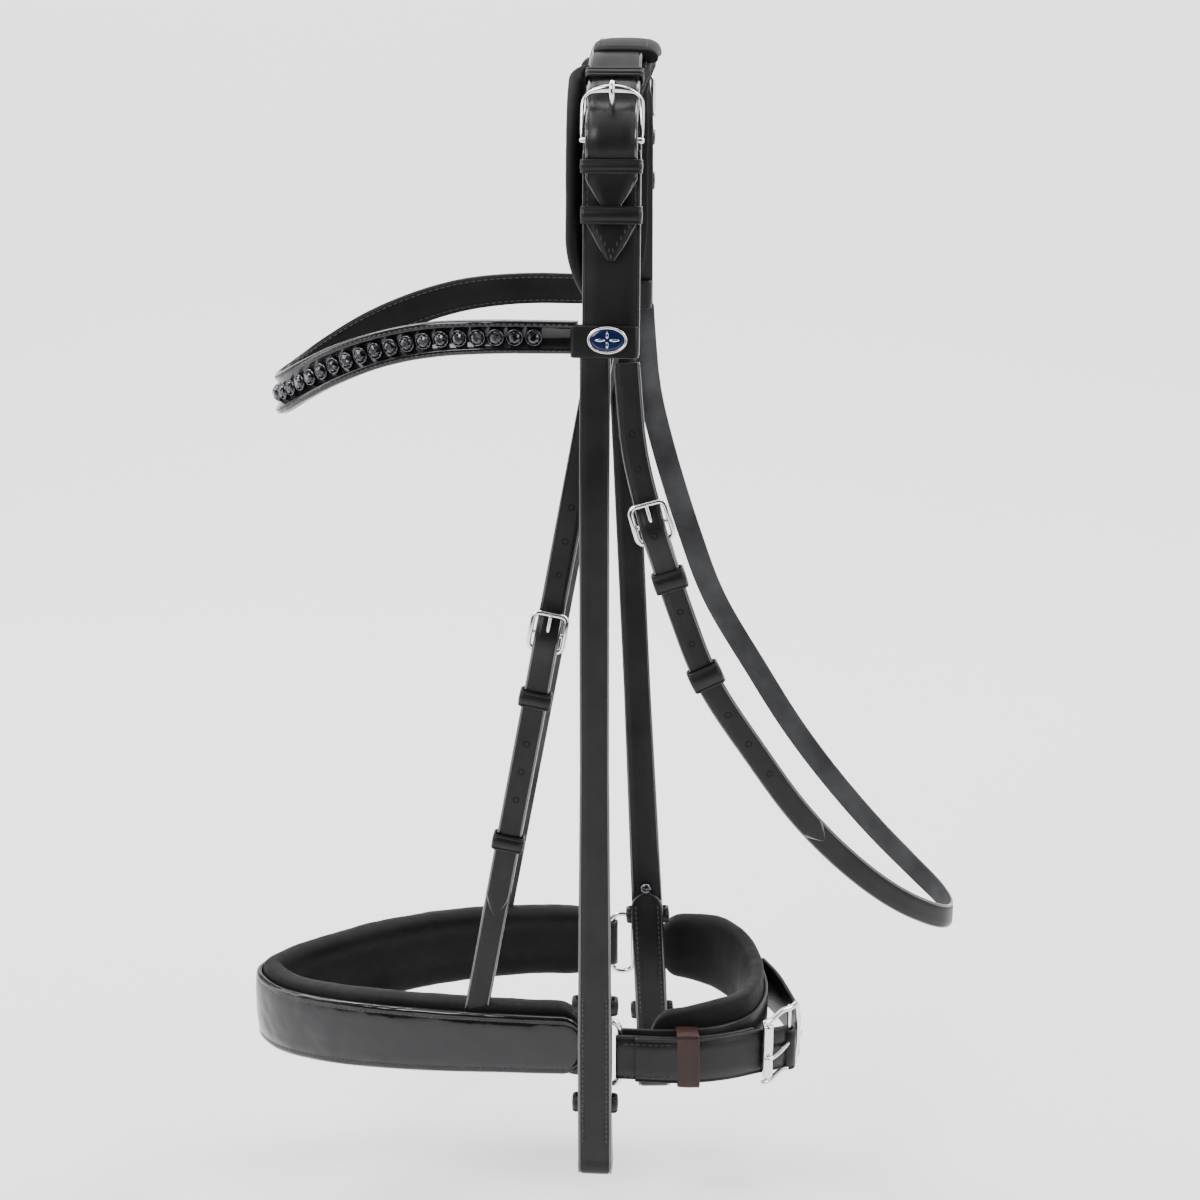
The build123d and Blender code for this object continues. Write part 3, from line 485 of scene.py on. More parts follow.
def add_stitch(bm, place, tangent, normal, half, radius):
    """One stitch: a short thread whose two ends dip into the leather."""
    side = tangent.cross(normal)
    rings = []
    for f, r, drop in ((-1.15, 0.25, -0.9), (-0.8, 0.8, -0.25), (0, 1.0, 0.1), (0.8, 0.8, -0.25),
                       (1.15, 0.25, -0.9)):
        centre = place + tangent * (half * f) + normal * (radius * drop)
        rings.append(circle(centre, side, normal, radius * r, 6, radius * r * 0.8))
    bridge_rings(bm, rings)


def stitch_row(name, places, body, half, radius=0.28):
    """Piece of single stitches at (place, direction, normal) triples."""
    bm = bmesh.new()
    for place, direction, normal in places:
        add_stitch(bm, place, direction, normal, half, radius)
    return finish_piece(name, bm, THREAD, body)


def holes(name, track, distances, body, out, radius=1.25):
    """Punched adjustment holes: a pressed rim round a closed dark mouth, painted shade where the hole would
    be open.
    """
    bm = bmesh.new()
    for d in distances:
        place, tangent, normal, side = track.at(d, 0, out)
        mouth = [(radius * 1.45, -0.12), (radius * 1.2, 0.07), (radius, 0.02), (radius * 0.9, -0.3)]
        # The last ring is capped: a dark disc of painted shade for the hole's mouth.
        turned(bm, place, tangent, side, normal, mouth, 18)
    return finish_piece(name, bm, HOLE_PAINTED_SHADE, body)


def keeper_loop(name, centre, along, normal, inner_width, low, high, wall, length, material, body,
                replaces=(), lines=True):
    """Leather keeper: a rounded loop round a strap with an incised line near each edge."""
    across = along.cross(normal).normalized()
    half, corner = inner_width / 2 + wall / 2, 1.5
    h0, h1 = low - wall / 2, high + wall / 2
    path = []
    for cx, cy, a0 in ((half - corner, h1 - corner, 0), (-half + corner, h1 - corner, 90),
                       (-half + corner, h0 + corner, 180), (half - corner, h0 + corner, 270)):
        for k in range(6):
            a = radians(a0 + k * 18)
            path.append((cx + corner * cos(a), cy + corner * sin(a), cos(a), sin(a)))
    section = [(-length / 2, 0), (-length / 2 + 0.35, wall * 0.45), (-length / 2 + 0.9, wall * 0.5)]
    if lines:
        section += [(-length / 2 + 1.3, wall * 0.52), (-length / 2 + 1.5, wall * 0.5 - 0.25),
                    (-length / 2 + 1.75, wall * 0.5 - 0.25), (-length / 2 + 1.95, wall * 0.55)]
    section += [(0, wall * 0.62)]
    section += [(-d, h) for d, h in reversed(section[:-1])]
    section += [(length / 2 - 0.35, -wall * 0.45), (-length / 2 + 0.35, -wall * 0.45)]
    bm = bmesh.new()
    rings = []
    for u, v, nu, nv in path:
        rings.append([centre + across * (u + nu * h) + normal * (v + nv * h) + along * d
                      for d, h in section])
    bridge_rings(bm, rings, loop=True)
    return finish_piece(name, bm, material, body, True, replaces)


def buckle_loop(name, centre, across, along, normal, half_width, half_length, corner, radius, body,
                replaces=(), arch=0.0, flat=1.0, sides=16):
    """Swept-rod rectangle; arch lifts its middle off the plane along its length."""
    points = []
    for sx, sy, a0 in ((1, 1, 0), (-1, 1, 90), (-1, -1, 180), (1, -1, 270)):
        for k in range(9):
            a = radians(a0 + k * 11.25)
            points.append((sx * (half_width - corner) + corner * cos(a),
                           sy * (half_length - corner) + corner * sin(a)))
    fine = resample([Vector((x, y, 0)) for x, y in points + points[:1]], 0.9)[:-1]
    path = []
    for p in fine:
        rise = arch * (1 - (p.y / half_length) ** 2)
        path.append(centre + across * p.x + along * p.y + normal * rise)
    return tube(name, path, radius, STEEL, body, replaces, closed=True, sides=sides, flat=flat,
                out=normal)


# ------------------------------------------------------------------ the poll arch
POLL_RADIUS, SHOULDER_RADIUS = 74.0, 40.0
POLL_ANGLE, SIDE_ANGLE = radians(18.0), radians(84.0)
POLL_ARC = POLL_RADIUS * POLL_ANGLE
SIDE_START = POLL_ARC + SHOULDER_RADIUS * (SIDE_ANGLE - POLL_ANGLE)
SHOULDER_Y = (POLL_RADIUS - SHOULDER_RADIUS) * sin(POLL_ANGLE)
SHOULDER_Z = -POLL_RADIUS + (POLL_RADIUS - SHOULDER_RADIUS) * cos(POLL_ANGLE)


def arch(s, w, side, x=0.0):
    """Point s along the arch from the poll, w outside it, x back, on one side."""
    if s <= POLL_ARC:
        a = s / POLL_RADIUS
        return Vector((x, side * (POLL_RADIUS + w) * sin(a), -POLL_RADIUS + (POLL_RADIUS + w) * cos(a)))
    a = min(POLL_ANGLE + (s - POLL_ARC) / SHOULDER_RADIUS, SIDE_ANGLE)
    run = max(0.0, s - SIDE_START)
    y = SHOULDER_Y + (SHOULDER_RADIUS + w) * sin(a) + run * cos(a)
    z = SHOULDER_Z + (SHOULDER_RADIUS + w) * cos(a) - run * sin(a)
    return Vector((x, side * y, z))


def arch_out(s, side):
    """Outward normal of the arch."""
    if s <= POLL_ARC:
        a = s / POLL_RADIUS
    else:
        a = min(POLL_ANGLE + (s - POLL_ARC) / SHOULDER_RADIUS, SIDE_ANGLE)
    return Vector((0, side * sin(a), cos(a)))


def arch_track(stations, side, heights, x=0.0, step=2.0):
    """Strap middle line over one side; heights gives w at s."""
    start, end = stations
    count = int((end - start) / step)
    values = [start + (end - start) * i / count for i in range(count + 1)]
    curve = [v.y for v in smooth_heights(heights, values)]
    return Track([arch(s, w, side, x) for s, w in zip(values, curve)],
                 [arch_out(s, side) for s in values])


def smooth_heights(heights, values):
    """Height at each value, read off a smooth line through (distance, height) pairs."""
    fine = smooth([(a, b, 0) for a, b in heights], 0.7)
    pairs = [(v.x, v.y) for v in fine]
    return [Vector((s, lookup(pairs, s), 0)) for s in values]


def over_track(end_s, height, x=0.0, step=2.0):
    """One track over the whole arch from near to far."""
    count = int(2 * end_s / step)
    values = [-end_s + 2 * end_s * i / count for i in range(count + 1)]
    return Track([arch(abs(s), height, -1 if s < 0 else 1, x) for s in values],
                 [arch_out(abs(s), -1 if s < 0 else 1) for s in values])


def arch_plane(s, w, side):
    """Place, tangent downward, normal and width axis at one station."""
    place = arch(s, w, side)
    normal = arch_out(s, side)
    tangent = (arch(s + 0.5, w, side) - arch(s - 0.5, w, side)).normalized()
    return place, tangent, normal, tangent.cross(normal)


# ------------------------------------------------------------------ crown pad
PAD_END, PAD_REAR, PAD_FRONT = 147.0, 17.0, -23.0
WING = 8.0               # width of the roll along the pad's front edge
PUFF_LIMIT = 1.1         # farthest that air pressure may push a cushion's skin


def crown_profile(s):
    """Rear and front x of the pad and the height share of its wing, drawn in at its ends."""
    left = PAD_END - abs(s)
    rear = lookup([(28, PAD_REAR), (48, 12.0)], abs(s))
    front = -12.0 + (PAD_FRONT + 12.0) * ease((abs(s) - 20) / 16)
    if left > 36:
        return rear, front, ease((abs(s) - 22) / 12)
    f = 1 - (1 - max(left, 0) / 36) ** 2
    return 9 + (rear - 9) * f, -9 + (PAD_FRONT + 9) * f, 1.0


def pillow_section(rear, front):
    """Section of the pad: flat bed under the straps, a wing roll in front, a small one behind."""
    return [(rear, 0.4), (rear - 0.6, 3.4), (rear - 2.5, 4.6), (rear - 4.5, 4.3), (rear - 7, 4.4),
            (2, 4.45), (front + WING + 3, 4.4), (front + WING + 0.6, 4.3),
            (front + WING - 0.4, 5.2), (front + WING - 1.8, 7.6), (front + WING * 0.5, 8.7),
            (front + 1.4, 7.3), (front + 0.1, 4.4), (front + 0.8, 1.5), (front + 3, 0.1),
            (front + WING, 0.05), (2, 0.0), (rear - 6, 0.0), (rear - 2, 0.05)]


def inflate(piece, pressure, pinned, frames=14):
    """Puffs a sewn skin as cloth under air pressure, with pinned(v) kept still, and keeps the shape."""
    group = piece.vertex_groups.new(name="sewn")
    for vertex in piece.data.vertices:
        if pinned(vertex.co / MM):
            group.add([vertex.index], 1.0, "REPLACE")
    cloth = piece.modifiers.new("cloth", "CLOTH")
    cloth.settings.quality = 6
    cloth.settings.mass = 0.25
    cloth.settings.tension_stiffness = 30
    cloth.settings.compression_stiffness = 30
    cloth.settings.shear_stiffness = 12
    cloth.settings.bending_stiffness = 0.4
    cloth.settings.use_pressure = True
    cloth.settings.uniform_pressure_force = pressure
    cloth.settings.effector_weights.gravity = 0
    cloth.settings.vertex_group_mass = "sewn"
    cloth.point_cache.frame_start = 1
    cloth.point_cache.frame_end = frames
    scene = bpy.context.scene
    rest = [v.co.copy() for v in piece.data.vertices]
    for frame_number in range(1, frames + 1):
        scene.frame_set(frame_number)
    evaluated = piece.evaluated_get(bpy.context.evaluated_depsgraph_get())
    moved = [v.co.copy() for v in evaluated.data.vertices]
    piece.modifiers.remove(cloth)
    limit = PUFF_LIMIT * MM
    for vertex, a, b in zip(piece.data.vertices, rest, moved):
        shift = b - a
        if shift.length > limit:
            shift *= limit / shift.length
        vertex.co = a + shift
    scene.frame_set(1)


def puckers(name, amount, cell, piece):
    """Slow hand-made unevenness of a stuffed piece."""
    texture = bpy.data.textures.new(name, "CLOUDS")
    texture.noise_scale = cell * MM
    texture.noise_depth = 2
    displace = piece.modifiers.new(name, "DISPLACE")
    displace.texture = texture
    displace.strength = amount * MM
    displace.mid_level = 0.5
    displace.texture_coords = "LOCAL"


def build_crown_pad():
    """Padded headpiece under all the straps, with a stitched line beside each of its rolls."""
    bm = bmesh.new()
    rings = []
    count = 150
    for i in range(count + 1):
        s = -PAD_END + 2 * PAD_END * i / count
        rear, front, wing = crown_profile(s)
        side = -1 if s < 0 else 1
        squeeze_w = min(1.0, 0.35 + (PAD_END - abs(s)) / 7)
        ring = []
        for x, w in pillow_section(rear, front):
            w = min(w, 4.5) + max(w - 4.5, 0) * wing
            ring.append(arch(abs(s), 2.2 + (w - 2.2) * squeeze_w, side, x))
        rings.append(ring)
    bridge_rings(bm, rings)
    pad = finish_piece("visual_crown_pad", bm, NAPPA, "root", True, ["crown_pad"])
    pad.modifiers.new("round", "SUBSURF").levels = 1
    puckers("crown_puckers", 0.5, 16, pad)
    track = over_track(PAD_END - 4, 4.4)
    for name, inset, at_front in (("crown_stitch_wing", 9.3, True), ("crown_stitch_rear", 2.9, False)):
        places = []
        d = 3.0
        while d < track.length - 3:
            rear, front, wing = crown_profile(d - track.length / 2)
            x = front + inset if at_front else rear - inset
            place, tangent, normal, side = track.at(d)
            places.append((place + Vector((x, 0, 0)) + normal * 0.25, tangent, normal))
            d += 3.4
        stitch_row(name, places, "root", 1.15, 0.3)


build_crown_pad()


def build_crown_cover():
    """Padded sleeve over the poll that the two billets come out of, with its edge stitching."""
    outline = [(19.5, 3.4), (20.2, 6.0), (18.6, 9.3), (14.0, 11.0), (4.0, 11.4), (-6.0, 11.2),
               (-11.5, 10.0), (-13.6, 7.4), (-13.4, 5.0), (-12.0, 4.6), (0.0, 6.0), (16.0, 3.0)]
    bm = bmesh.new()
    rings = []
    for i in range(-20, 21):
        edge = ease((20 - abs(i)) / 3)
        ring = []
        for x, w in outline:
            ring.append(arch(abs(i), 9.2 + (w - 9.2) * (0.55 + 0.45 * edge) if w > 9 else w,
                             -1 if i < 0 else 1, x))
        rings.append(ring)
    bridge_rings(bm, rings)
    cover = finish_piece("crown_cover", bm, NAPPA, "root")
    cover.modifiers.new("round", "SUBSURF").levels = 1
    track = over_track(18, 11.5)
    stitches("crown_cover_stitch", track, [-9.5, 14.2], "root", 1, track.length - 1, 3.1, -0.75, 0.28)


build_crown_cover()


# ------------------------------------------------------------------ crown straps and buckles
BILLET = [(0, 8.0), (12, 8.0), (23, 8.0), (32, 8.1), (40, 9.4), (46, 10.7), (52, 11.2), (58, 14.2),
          (63, 16.6), (67, 17.1), (74, 15.4), (82, 13.5), (90, 13.2), (98, 13.2)]
BAR_S, FRAME_TOP_S = 66.0, 44.5
TONGUE_SLOT = (50.5, 56.5)


def build_billet(name, track, width, thickness, slot, half_slot, replaces):
    """Crown billet: a rounded tip, and a long rimmed hole that the buckle tongue goes through, closed by a
    near-black sheet of painted shade.
    """
    section = strap_section(width, thickness, 1.6, 0.2)
    bm = bmesh.new()
    rings = []
    for i, p in enumerate(track.points):
        left = track.length - track.station[i]
        share = 1.0
        if left < width * 0.6:
            share = 0.12 + 0.88 * max(left / (width * 0.6), 0.03) ** 0.7
        rings.append([p + track.across[i] * (u * share) + track.out[i] * v for u, v, _ in section])
    mark_faces(bridge_rings(bm, rings), [kind for _, _, kind in section])
    finish_piece(name, bm, LEATHER, "root", True, replaces, (LEATHER, EDGE))
    start, end = slot
    centre = (start + end) / 2
    turns = [pi * k / 12 for k in range(13)]
    path = [(start + half_slot - half_slot * sin(a), half_slot * cos(a)) for a in turns]
    path += [(end - half_slot + half_slot * sin(a), -half_slot * cos(a)) for a in turns]
    rings = []
    for grow, height in ((1.35, 0.02), (1.15, 0.14), (1.0, 0.06), (0.9, -0.35)):
        stretch = 1 + (grow - 1) * 0.3
        rings.append([track.at(centre + (d - centre) * stretch, u * grow, thickness / 2 + 0.2 + height)[0]
                      for d, u in path])
    rim = bmesh.new()
    bridge_rings(rim, rings)
    # The slot's capped inner ring is a near-black sheet: painted shade where the slot would be open.
    finish_piece(name + "_slot", rim, HOLE_PAINTED_SHADE, "root")


def build_crown(side, label):
    """One side of the crown: billet, chape, headpiece, keepers, buckle and tongue."""
    track = arch_track((0, 98), side, BILLET, step=1.0)
    build_billet(f"{label}_crown_billet", track, 25, 2.2, TONGUE_SLOT, 1.9,
                 ["crown_strap"] if side == NEAR else [])
    tail = arch_track((70, 121), side, [(66, 10.7), (124, 10.7)])
    ribbon(f"{label}_crown_chape_strap", tail, 28, 2.2, LEATHER, "root", [f"{label}_crown_chape"],
           tip="point")
    stitches(f"{label}_chape_stitches", tail, v_rows(tail, 28), "root", out=1.35, pitch=2.9)
    fold = []
    for k in range(13):
        a = radians(-95 + 190 * k / 12)
        fold.append((BAR_S + 1.0 - 3.9 * cos(a), 12.0 + 2.45 * sin(a)))
    fold = [(BAR_S + 9, 9.6)] + fold + [(BAR_S + 9, 12.4)]
    planes = [arch_plane(s, w, side) for s, w in smooth2(fold, 0.8)]
    line = [plane[0] for plane in planes]
    normals = [t.cross(plane[3]) for t, plane in zip(tangents(line), planes)]
    ribbon(f"{label}_crown_fold", Track(line, normals), 25, 1.9, LEATHER, "root", crease=1.6)
    head = arch_track((47, 166.5), side, [(47, 8.1), (167, 8.1)])
    ribbon(f"{label}_headpiece_strap", head, 28, 2.4, LEATHER, "root", [f"{label}_headpiece"],
           head="round")
    for index, (s, base, inside, length) in enumerate(((38.4, 6.8, 4.6, 6.0), (77, 9.45, 7.6, 6.8),
                                                       (99.8, 9.45, 5.2, 8.6))):
        place, tangent, normal, across = arch_plane(s, base, side)
        keeper_loop(f"{label}_crown_keeper_{index}", place, tangent, normal, 27.0 if index else 25.6,
                    -0.2, inside, 1.3, length, LEATHER, "root",
                    [f"{label}_crown_keepers"] if index == 0 else ())
    bar_place = arch(BAR_S, 12.5, side)
    top_place = arch(FRAME_TOP_S + 3.2, 14.6, side)
    along = (top_place - bar_place).normalized()
    normal = arch_out(55, side)
    normal = (normal - along * normal.dot(along)).normalized()
    across = along.cross(normal)
    centre = (bar_place + top_place) / 2
    half = (top_place - bar_place).length / 2
    build_arched_frame(label, centre, across, along, normal, half)
    line = smooth([arch(65, 12.2, side), arch(61, 11.6, side), arch(57.5, 11.4, side),
                   arch(55.2, 12.6, side), arch(53.4, 17.2, side), arch(51.8, 20.8, side),
                   arch(50.0, 22.2, side), arch(48.4, 22.0, side)], 0.7)
    n = len(line) - 1
    radii = [1.7 - 0.45 * i / n for i in range(n + 1)]
    tube(f"{label}_tongue", line, radii, STEEL, f"{label}_crown_tongue_body", [f"{label}_crown_tongue"])
    eye = circle(bar_place, along, normal, 2.5, 22)
    tube(f"{label}_tongue_eye", eye, 1.25, STEEL, f"{label}_crown_tongue_body", closed=True)


def build_arched_frame(label, centre, across, along, normal, half):
    """Buckle frame: straight sides that stand on the bar, and a broad plate arched across the top."""
    outer, inner = [], []
    for k in range(25):
        a = radians(180 * k / 24)
        outer.append((15.3 * cos(a), half - 7.4 + 8.6 * sin(a)))
        inner.append((12.4 * max(-1, min(1, 1.06 * cos(a))), half - 6.6 + 3.3 * min(1.0, 1.5 * sin(a))))
    bm = bmesh.new()
    legs = [(15.2, -half), (15.35, -half * 0.5), (15.4, 0), (15.35, half - 9.5)]
    inner_legs = [(12.7, -half), (12.6, -half * 0.5), (12.5, 0), (12.4, half - 8.0)]
    outer = legs + outer[1:-1] + [(-x, y) for x, y in reversed(legs)]
    inner = inner_legs + inner[1:-1] + [(-x, y) for x, y in reversed(inner_legs)]
    rings = []
    for (xo, yo), (xi, yi) in zip(outer, inner):
        ring = []
        for f, h in ((0.0, 0.0), (0.06, 0.75), (0.28, 1.35), (0.6, 1.3), (0.9, 0.7), (1.0, 0.0),
                     (0.9, -0.7), (0.5, -1.2), (0.1, -0.7)):
            x, y = xo + (xi - xo) * f, yo + (yi - yo) * f
            lift = 4.6 * (1 - (x / 15.6) ** 2) * ease(y / half) + 0.4
            ring.append(centre + across * x + along * y + normal * (h + lift))
        rings.append(ring)
    bridge_rings(bm, rings)
    frame_piece = finish_piece(f"{label}_buckle", bm, STEEL, "root", True, [f"{label}_crown_buckle"])
    frame_piece.modifiers.new("round", "SUBSURF").levels = 1
    bar = centre - along * half
    tube(f"{label}_buckle_bar", [bar - across * 14.2, bar + across * 14.2], 1.5, STEEL, "root")


def v_rows(track, width, inset=2.6):
    """Two stitch rows that run down the sides and meet at a strap's point."""
    def row(sign):
        def place(d):
            left = track.length - d
            reach = width * 0.75
            half = width / 2 - inset
            return sign * half * min(1.0, max(left - 3, 0.2) / (reach - 3)) if left < reach else sign * half
        return place
    return [row(1), row(-1)]


for side, label in SIDES:
    build_crown(side, label)

ribbon("headstrap", over_track(166, 5.7, -7.0), 13, 1.8, LEATHER, "root", ["noseband_headstrap"],
       crease=1.4)


# ------------------------------------------------------------------ upright bands (browband, noseband, chin)
def mirrored(plan):
    """A plan's near half joined to its mirror image on the far side."""
    return list(plan) + [(x, -y) for x, y in reversed(plan[:-1])]


def plan_track(plan, offset, level, step=2.0, outward=-1):
    """Track of an upright band round a plan; level gives its middle z at x."""
    line = smooth([(x, y, 0) for x, y in plan], step)
    along = tangents(line)
    points, normals = [], []
    for p, t in zip(line, along):
        out = Vector((t.y, -t.x, 0)) * outward
        place = p + out * offset
        points.append(Vector((place.x, place.y, lookup(level, place.x))))
        normals.append(out)
    return Track(points, normals)


def band(name, plan, offset, edges, section, material, body, replaces=(), outward=-1, step=2.0,
         start_round=0.0):
    """Upright band whose section is (height share 0..1, out) between its bottom and top edges."""
    low, high = (smooth2(edge, 2.0) for edge in edges)
    line = smooth([(x, y, 0) for x, y in plan], step)
    along = tangents(line)
    bm = bmesh.new()
    rings = []
    total = len(line) - 1
    for i, (p, t) in enumerate(zip(line, along)):
        out = Vector((t.y, -t.x, 0)) * outward
        base = p + out * offset
        z0, z1 = lookup(low, base.x), lookup(high, base.x)
        pinch = 1.0
        gap = min(i, total - i) * step
        if start_round and gap < start_round:
            pinch = max((1 - (1 - gap / start_round) ** 2) ** 0.5, 0.12)
        middle, half = (z0 + z1) / 2, (z1 - z0) / 2 * pinch
        ring = []
        for f, h in section:
            q = p + out * (offset + h * (0.4 + 0.6 * pinch))
            ring.append(Vector((q.x, q.y, middle + half * (2 * f - 1))))
        rings.append(ring)
    bridge_rings(bm, rings)
    return finish_piece(name, bm, material, body, True, replaces)


def between(low, high, share):
    """Level line at a share of the height between two edges."""
    low, high = smooth2(low, 2.0), smooth2(high, 2.0)
    return [(x, lookup(low, x) * (1 - share) + lookup(high, x) * share) for x, _ in low]


# browband
BROW_PLAN = mirrored([(-16, -69.5), (-60, -69.5), (-100, -61), (-140, -44), (-168, -22.5), (-180, 0)])
BROW_TOP = [(-190, -164), (-178, -158), (-160, -146.5), (-140, -135.5), (-115, -126), (-90, -120),
            (-60, -117.5), (-15, -117.5)]
BROW_LOW = [(-190, -184), (-178, -180), (-160, -168), (-140, -156), (-115, -144.5), (-90, -137.5),
            (-60, -134), (-15, -133.3)]
front_section = [(0, -1.9), (0, -0.6), (0.03, 0.1), (0.09, 0.35), (0.15, 0.3), (0.185, 0.1),
                 (0.20, -0.75), (0.5, -0.85), (0.80, -0.75), (0.815, 0.1), (0.85, 0.3), (0.91, 0.35),
                 (0.97, 0.1), (1, -0.6), (1, -1.9), (0.5, -2.0)]
band("browband_front", BROW_PLAN, 0, (BROW_LOW, BROW_TOP), front_section, PATENT, "root",
     ["browband_front"])
lining_section = [(0.02, -4.3), (0, -3.4), (0.02, -2.5), (0.5, -2.3), (0.98, -2.5), (1, -3.4),
                  (0.98, -4.3), (0.5, -4.7)]
band("browband_lining", BROW_PLAN, 0, (BROW_LOW, BROW_TOP), lining_section, NAPPA, "root",
     ["browband_lining"])
for share, out, label in ((0.10, 0.45, "low"), (0.90, 0.45, "high")):
    track = plan_track(BROW_PLAN, 0, between(BROW_LOW, BROW_TOP, share))
    stitches(f"brow_stitch_{label}", track, [0.0], "root", 4, None, 3.0, out, 0.3)
for share, label in ((0.12, "low"), (0.88, "high")):
    track = plan_track(BROW_PLAN, -4.6, between(BROW_LOW, BROW_TOP, share))
    spots = [track.at(2 + i * 3.4) for i in range(int(track.length / 3.4))]
    stitch_row(f"brow_lining_stitch_{label}", [(place, along, -out) for place, along, out, _ in spots],
               "root", 1.1)


def add_crystal(bm, place, out, up, radius):
    """Faceted stone: table, two crown rings and a girdle."""
    side = up.cross(out)
    rings = []
    n = 12
    for r, h, turn in ((1.0, -0.4, 0), (1.0, 0.2, 0), (0.80, 1.3, 0.5), (0.46, 1.85, 0)):
        rings.append([place + (side * cos(2 * pi * (k + turn) / n) + up * sin(2 * pi * (k + turn) / n))
                      * (radius * r * (0.96 + 0.04 * (k % 2))) + out * (h + 0.22 * (k % 2) * (r < 0.9))
                      for k in range(n)])
    made = [[bm.verts.new(p) for p in ring] for ring in rings]
    for one, two in zip(made, made[1:]):
        for i in range(n):
            j = (i + 1) % n
            bm.faces.new((one[i], one[j], two[j]))
            bm.faces.new((one[i], two[j], two[i]))
    bm.faces.new(list(reversed(made[0])))
    bm.faces.new(made[-1])


CRYSTALS, CRYSTAL_PITCH, CRYSTAL_SIZE = 39, 9.3, 3.3
CUP_PROFILE = ((4.1, -0.9), (4.15, 0.1), (3.85, 0.75), (3.5, 0.62), (3.45, -0.9))
crystal_line = plan_track(BROW_PLAN, 0, between(BROW_LOW, BROW_TOP, 0.5), step=1.0)
stones, cups = bmesh.new(), bmesh.new()
first = crystal_line.length / 2 - CRYSTAL_PITCH * (CRYSTALS - 1) / 2
for i in range(CRYSTALS):
    place, tangent, normal, across = crystal_line.at(first + i * CRYSTAL_PITCH)
    up = (UP - tangent * UP.dot(tangent)).normalized()
    normal = tangent.cross(up) if tangent.cross(up).dot(normal) > 0 else up.cross(tangent)
    add_crystal(stones, place + normal * 0.1, normal, up, CRYSTAL_SIZE)
    side = up.cross(normal)
    turned(cups, place, side, up, normal, CUP_PROFILE, 24, loop=True)
    for k in range(4):
        a = pi / 4 + k * pi / 2
        direction = side * cos(a) + up * sin(a)
        add_stitch(cups, place + direction * 3.55 + normal * 0.85, direction, normal, 0.65, 0.42)
finish_piece("browband_crystals", stones, CRYSTAL, "root", False, ["crystals"])
finish_piece("browband_cups", cups, DARK_METAL, "root", True, ["crystal_cups"])


LOOP_S, BADGE_S = 160.5, 159.5       # how far down the arch the loop and its badge are centred
BADGE_RIM = ((9.9, 6.8, 0), (9.8, 6.7, 0.9), (9.3, 6.2, 1.45), (8.7, 5.6, 1.3), (8.5, 5.4, 0.7),
             (8.5, 5.4, 0))


def build_loop(side, label):
    """Browband end sewn round the straps, with its stitching."""
    place, tangent, normal, across = arch_plane(LOOP_S, 0, side)
    keeper_loop(f"{label}_loop", place - FRONT_TO_BACK * 3.0, tangent, normal, 29.6, 5.0, 9.6, 1.7,
                15.8, LEATHER, "root", [f"{label}_browband_loop"], lines=False)
    places = []
    for i in range(9):
        for d in (-6.3, 6.3):
            spot = arch(LOOP_S + d, 11.1, side) + FRONT_TO_BACK * (-13 + i * 2.7)
            places.append((spot, FRONT_TO_BACK, normal))
    for i in range(4):
        spot = arch(LOOP_S - 4.2 + i * 2.8, 11.05, side) + FRONT_TO_BACK * 10.6
        places.append((spot, tangent, normal))
    stitch_row(f"{label}_loop_stitch", places, "root", 1.0)
    build_badge(label, arch(BADGE_S, 11.3, side) - FRONT_TO_BACK * 1.5, tangent, normal)


def build_badge(label, centre, tangent, normal):
    """Oval badge: rounded steel rim, domed enamel and a motif of four petals."""
    back = FRONT_TO_BACK
    bm = bmesh.new()
    bridge_rings(bm, [circle(centre + normal * h, back, tangent, r_x, 40, r_z) for r_x, r_z, h in BADGE_RIM],
                 loop=True)
    finish_piece(f"{label}_badge_ring", bm, STEEL, "root", True, [f"{label}_badge_rim"])
    bm = bmesh.new()
    bridge_rings(bm, [circle(centre + normal * h, back, tangent, 8.6 * f, 40, 5.5 * f)
                      for f, h in ((1.0, 0.5), (0.97, 0.85), (0.75, 1.05), (0.4, 1.15), (0.05, 1.18))])
    finish_piece(f"{label}_badge_face", bm, ENAMEL, "root", True, [f"{label}_badge_enamel"])
    bm = bmesh.new()
    for turn in range(4):
        a = turn * pi / 2
        u = back * cos(a) * 1.5 + tangent * sin(a)
        v = back * -sin(a) + tangent * cos(a)
        bridge_rings(bm, [circle(centre + u * (0.6 + 3.4 * f) + normal * 1.12, v, normal, w * 0.75, 10,
                                 w * 0.22)
                          for f, w in ((0, 0.15), (0.25, 0.8), (0.5, 1.0), (0.75, 0.8), (1.0, 0.12))])
    finish_piece(f"{label}_badge_motif", bm, STEEL, "root")


for side, label in SIDES:
    build_loop(side, label)

# ------------------------------------------------------------------ cheekpieces
CHEEK_TOP_Z, LAYER = -137.6, 2.4
BOW_LENGTH, BIT_D = 90.0, 443.1      # how far down the strap eases outward, and where the bit sits
CHEEK_WIDTHS = [(0, 15), (220, 15.2), (320, 17.2), (380, 18.2), (450, 18.5)]


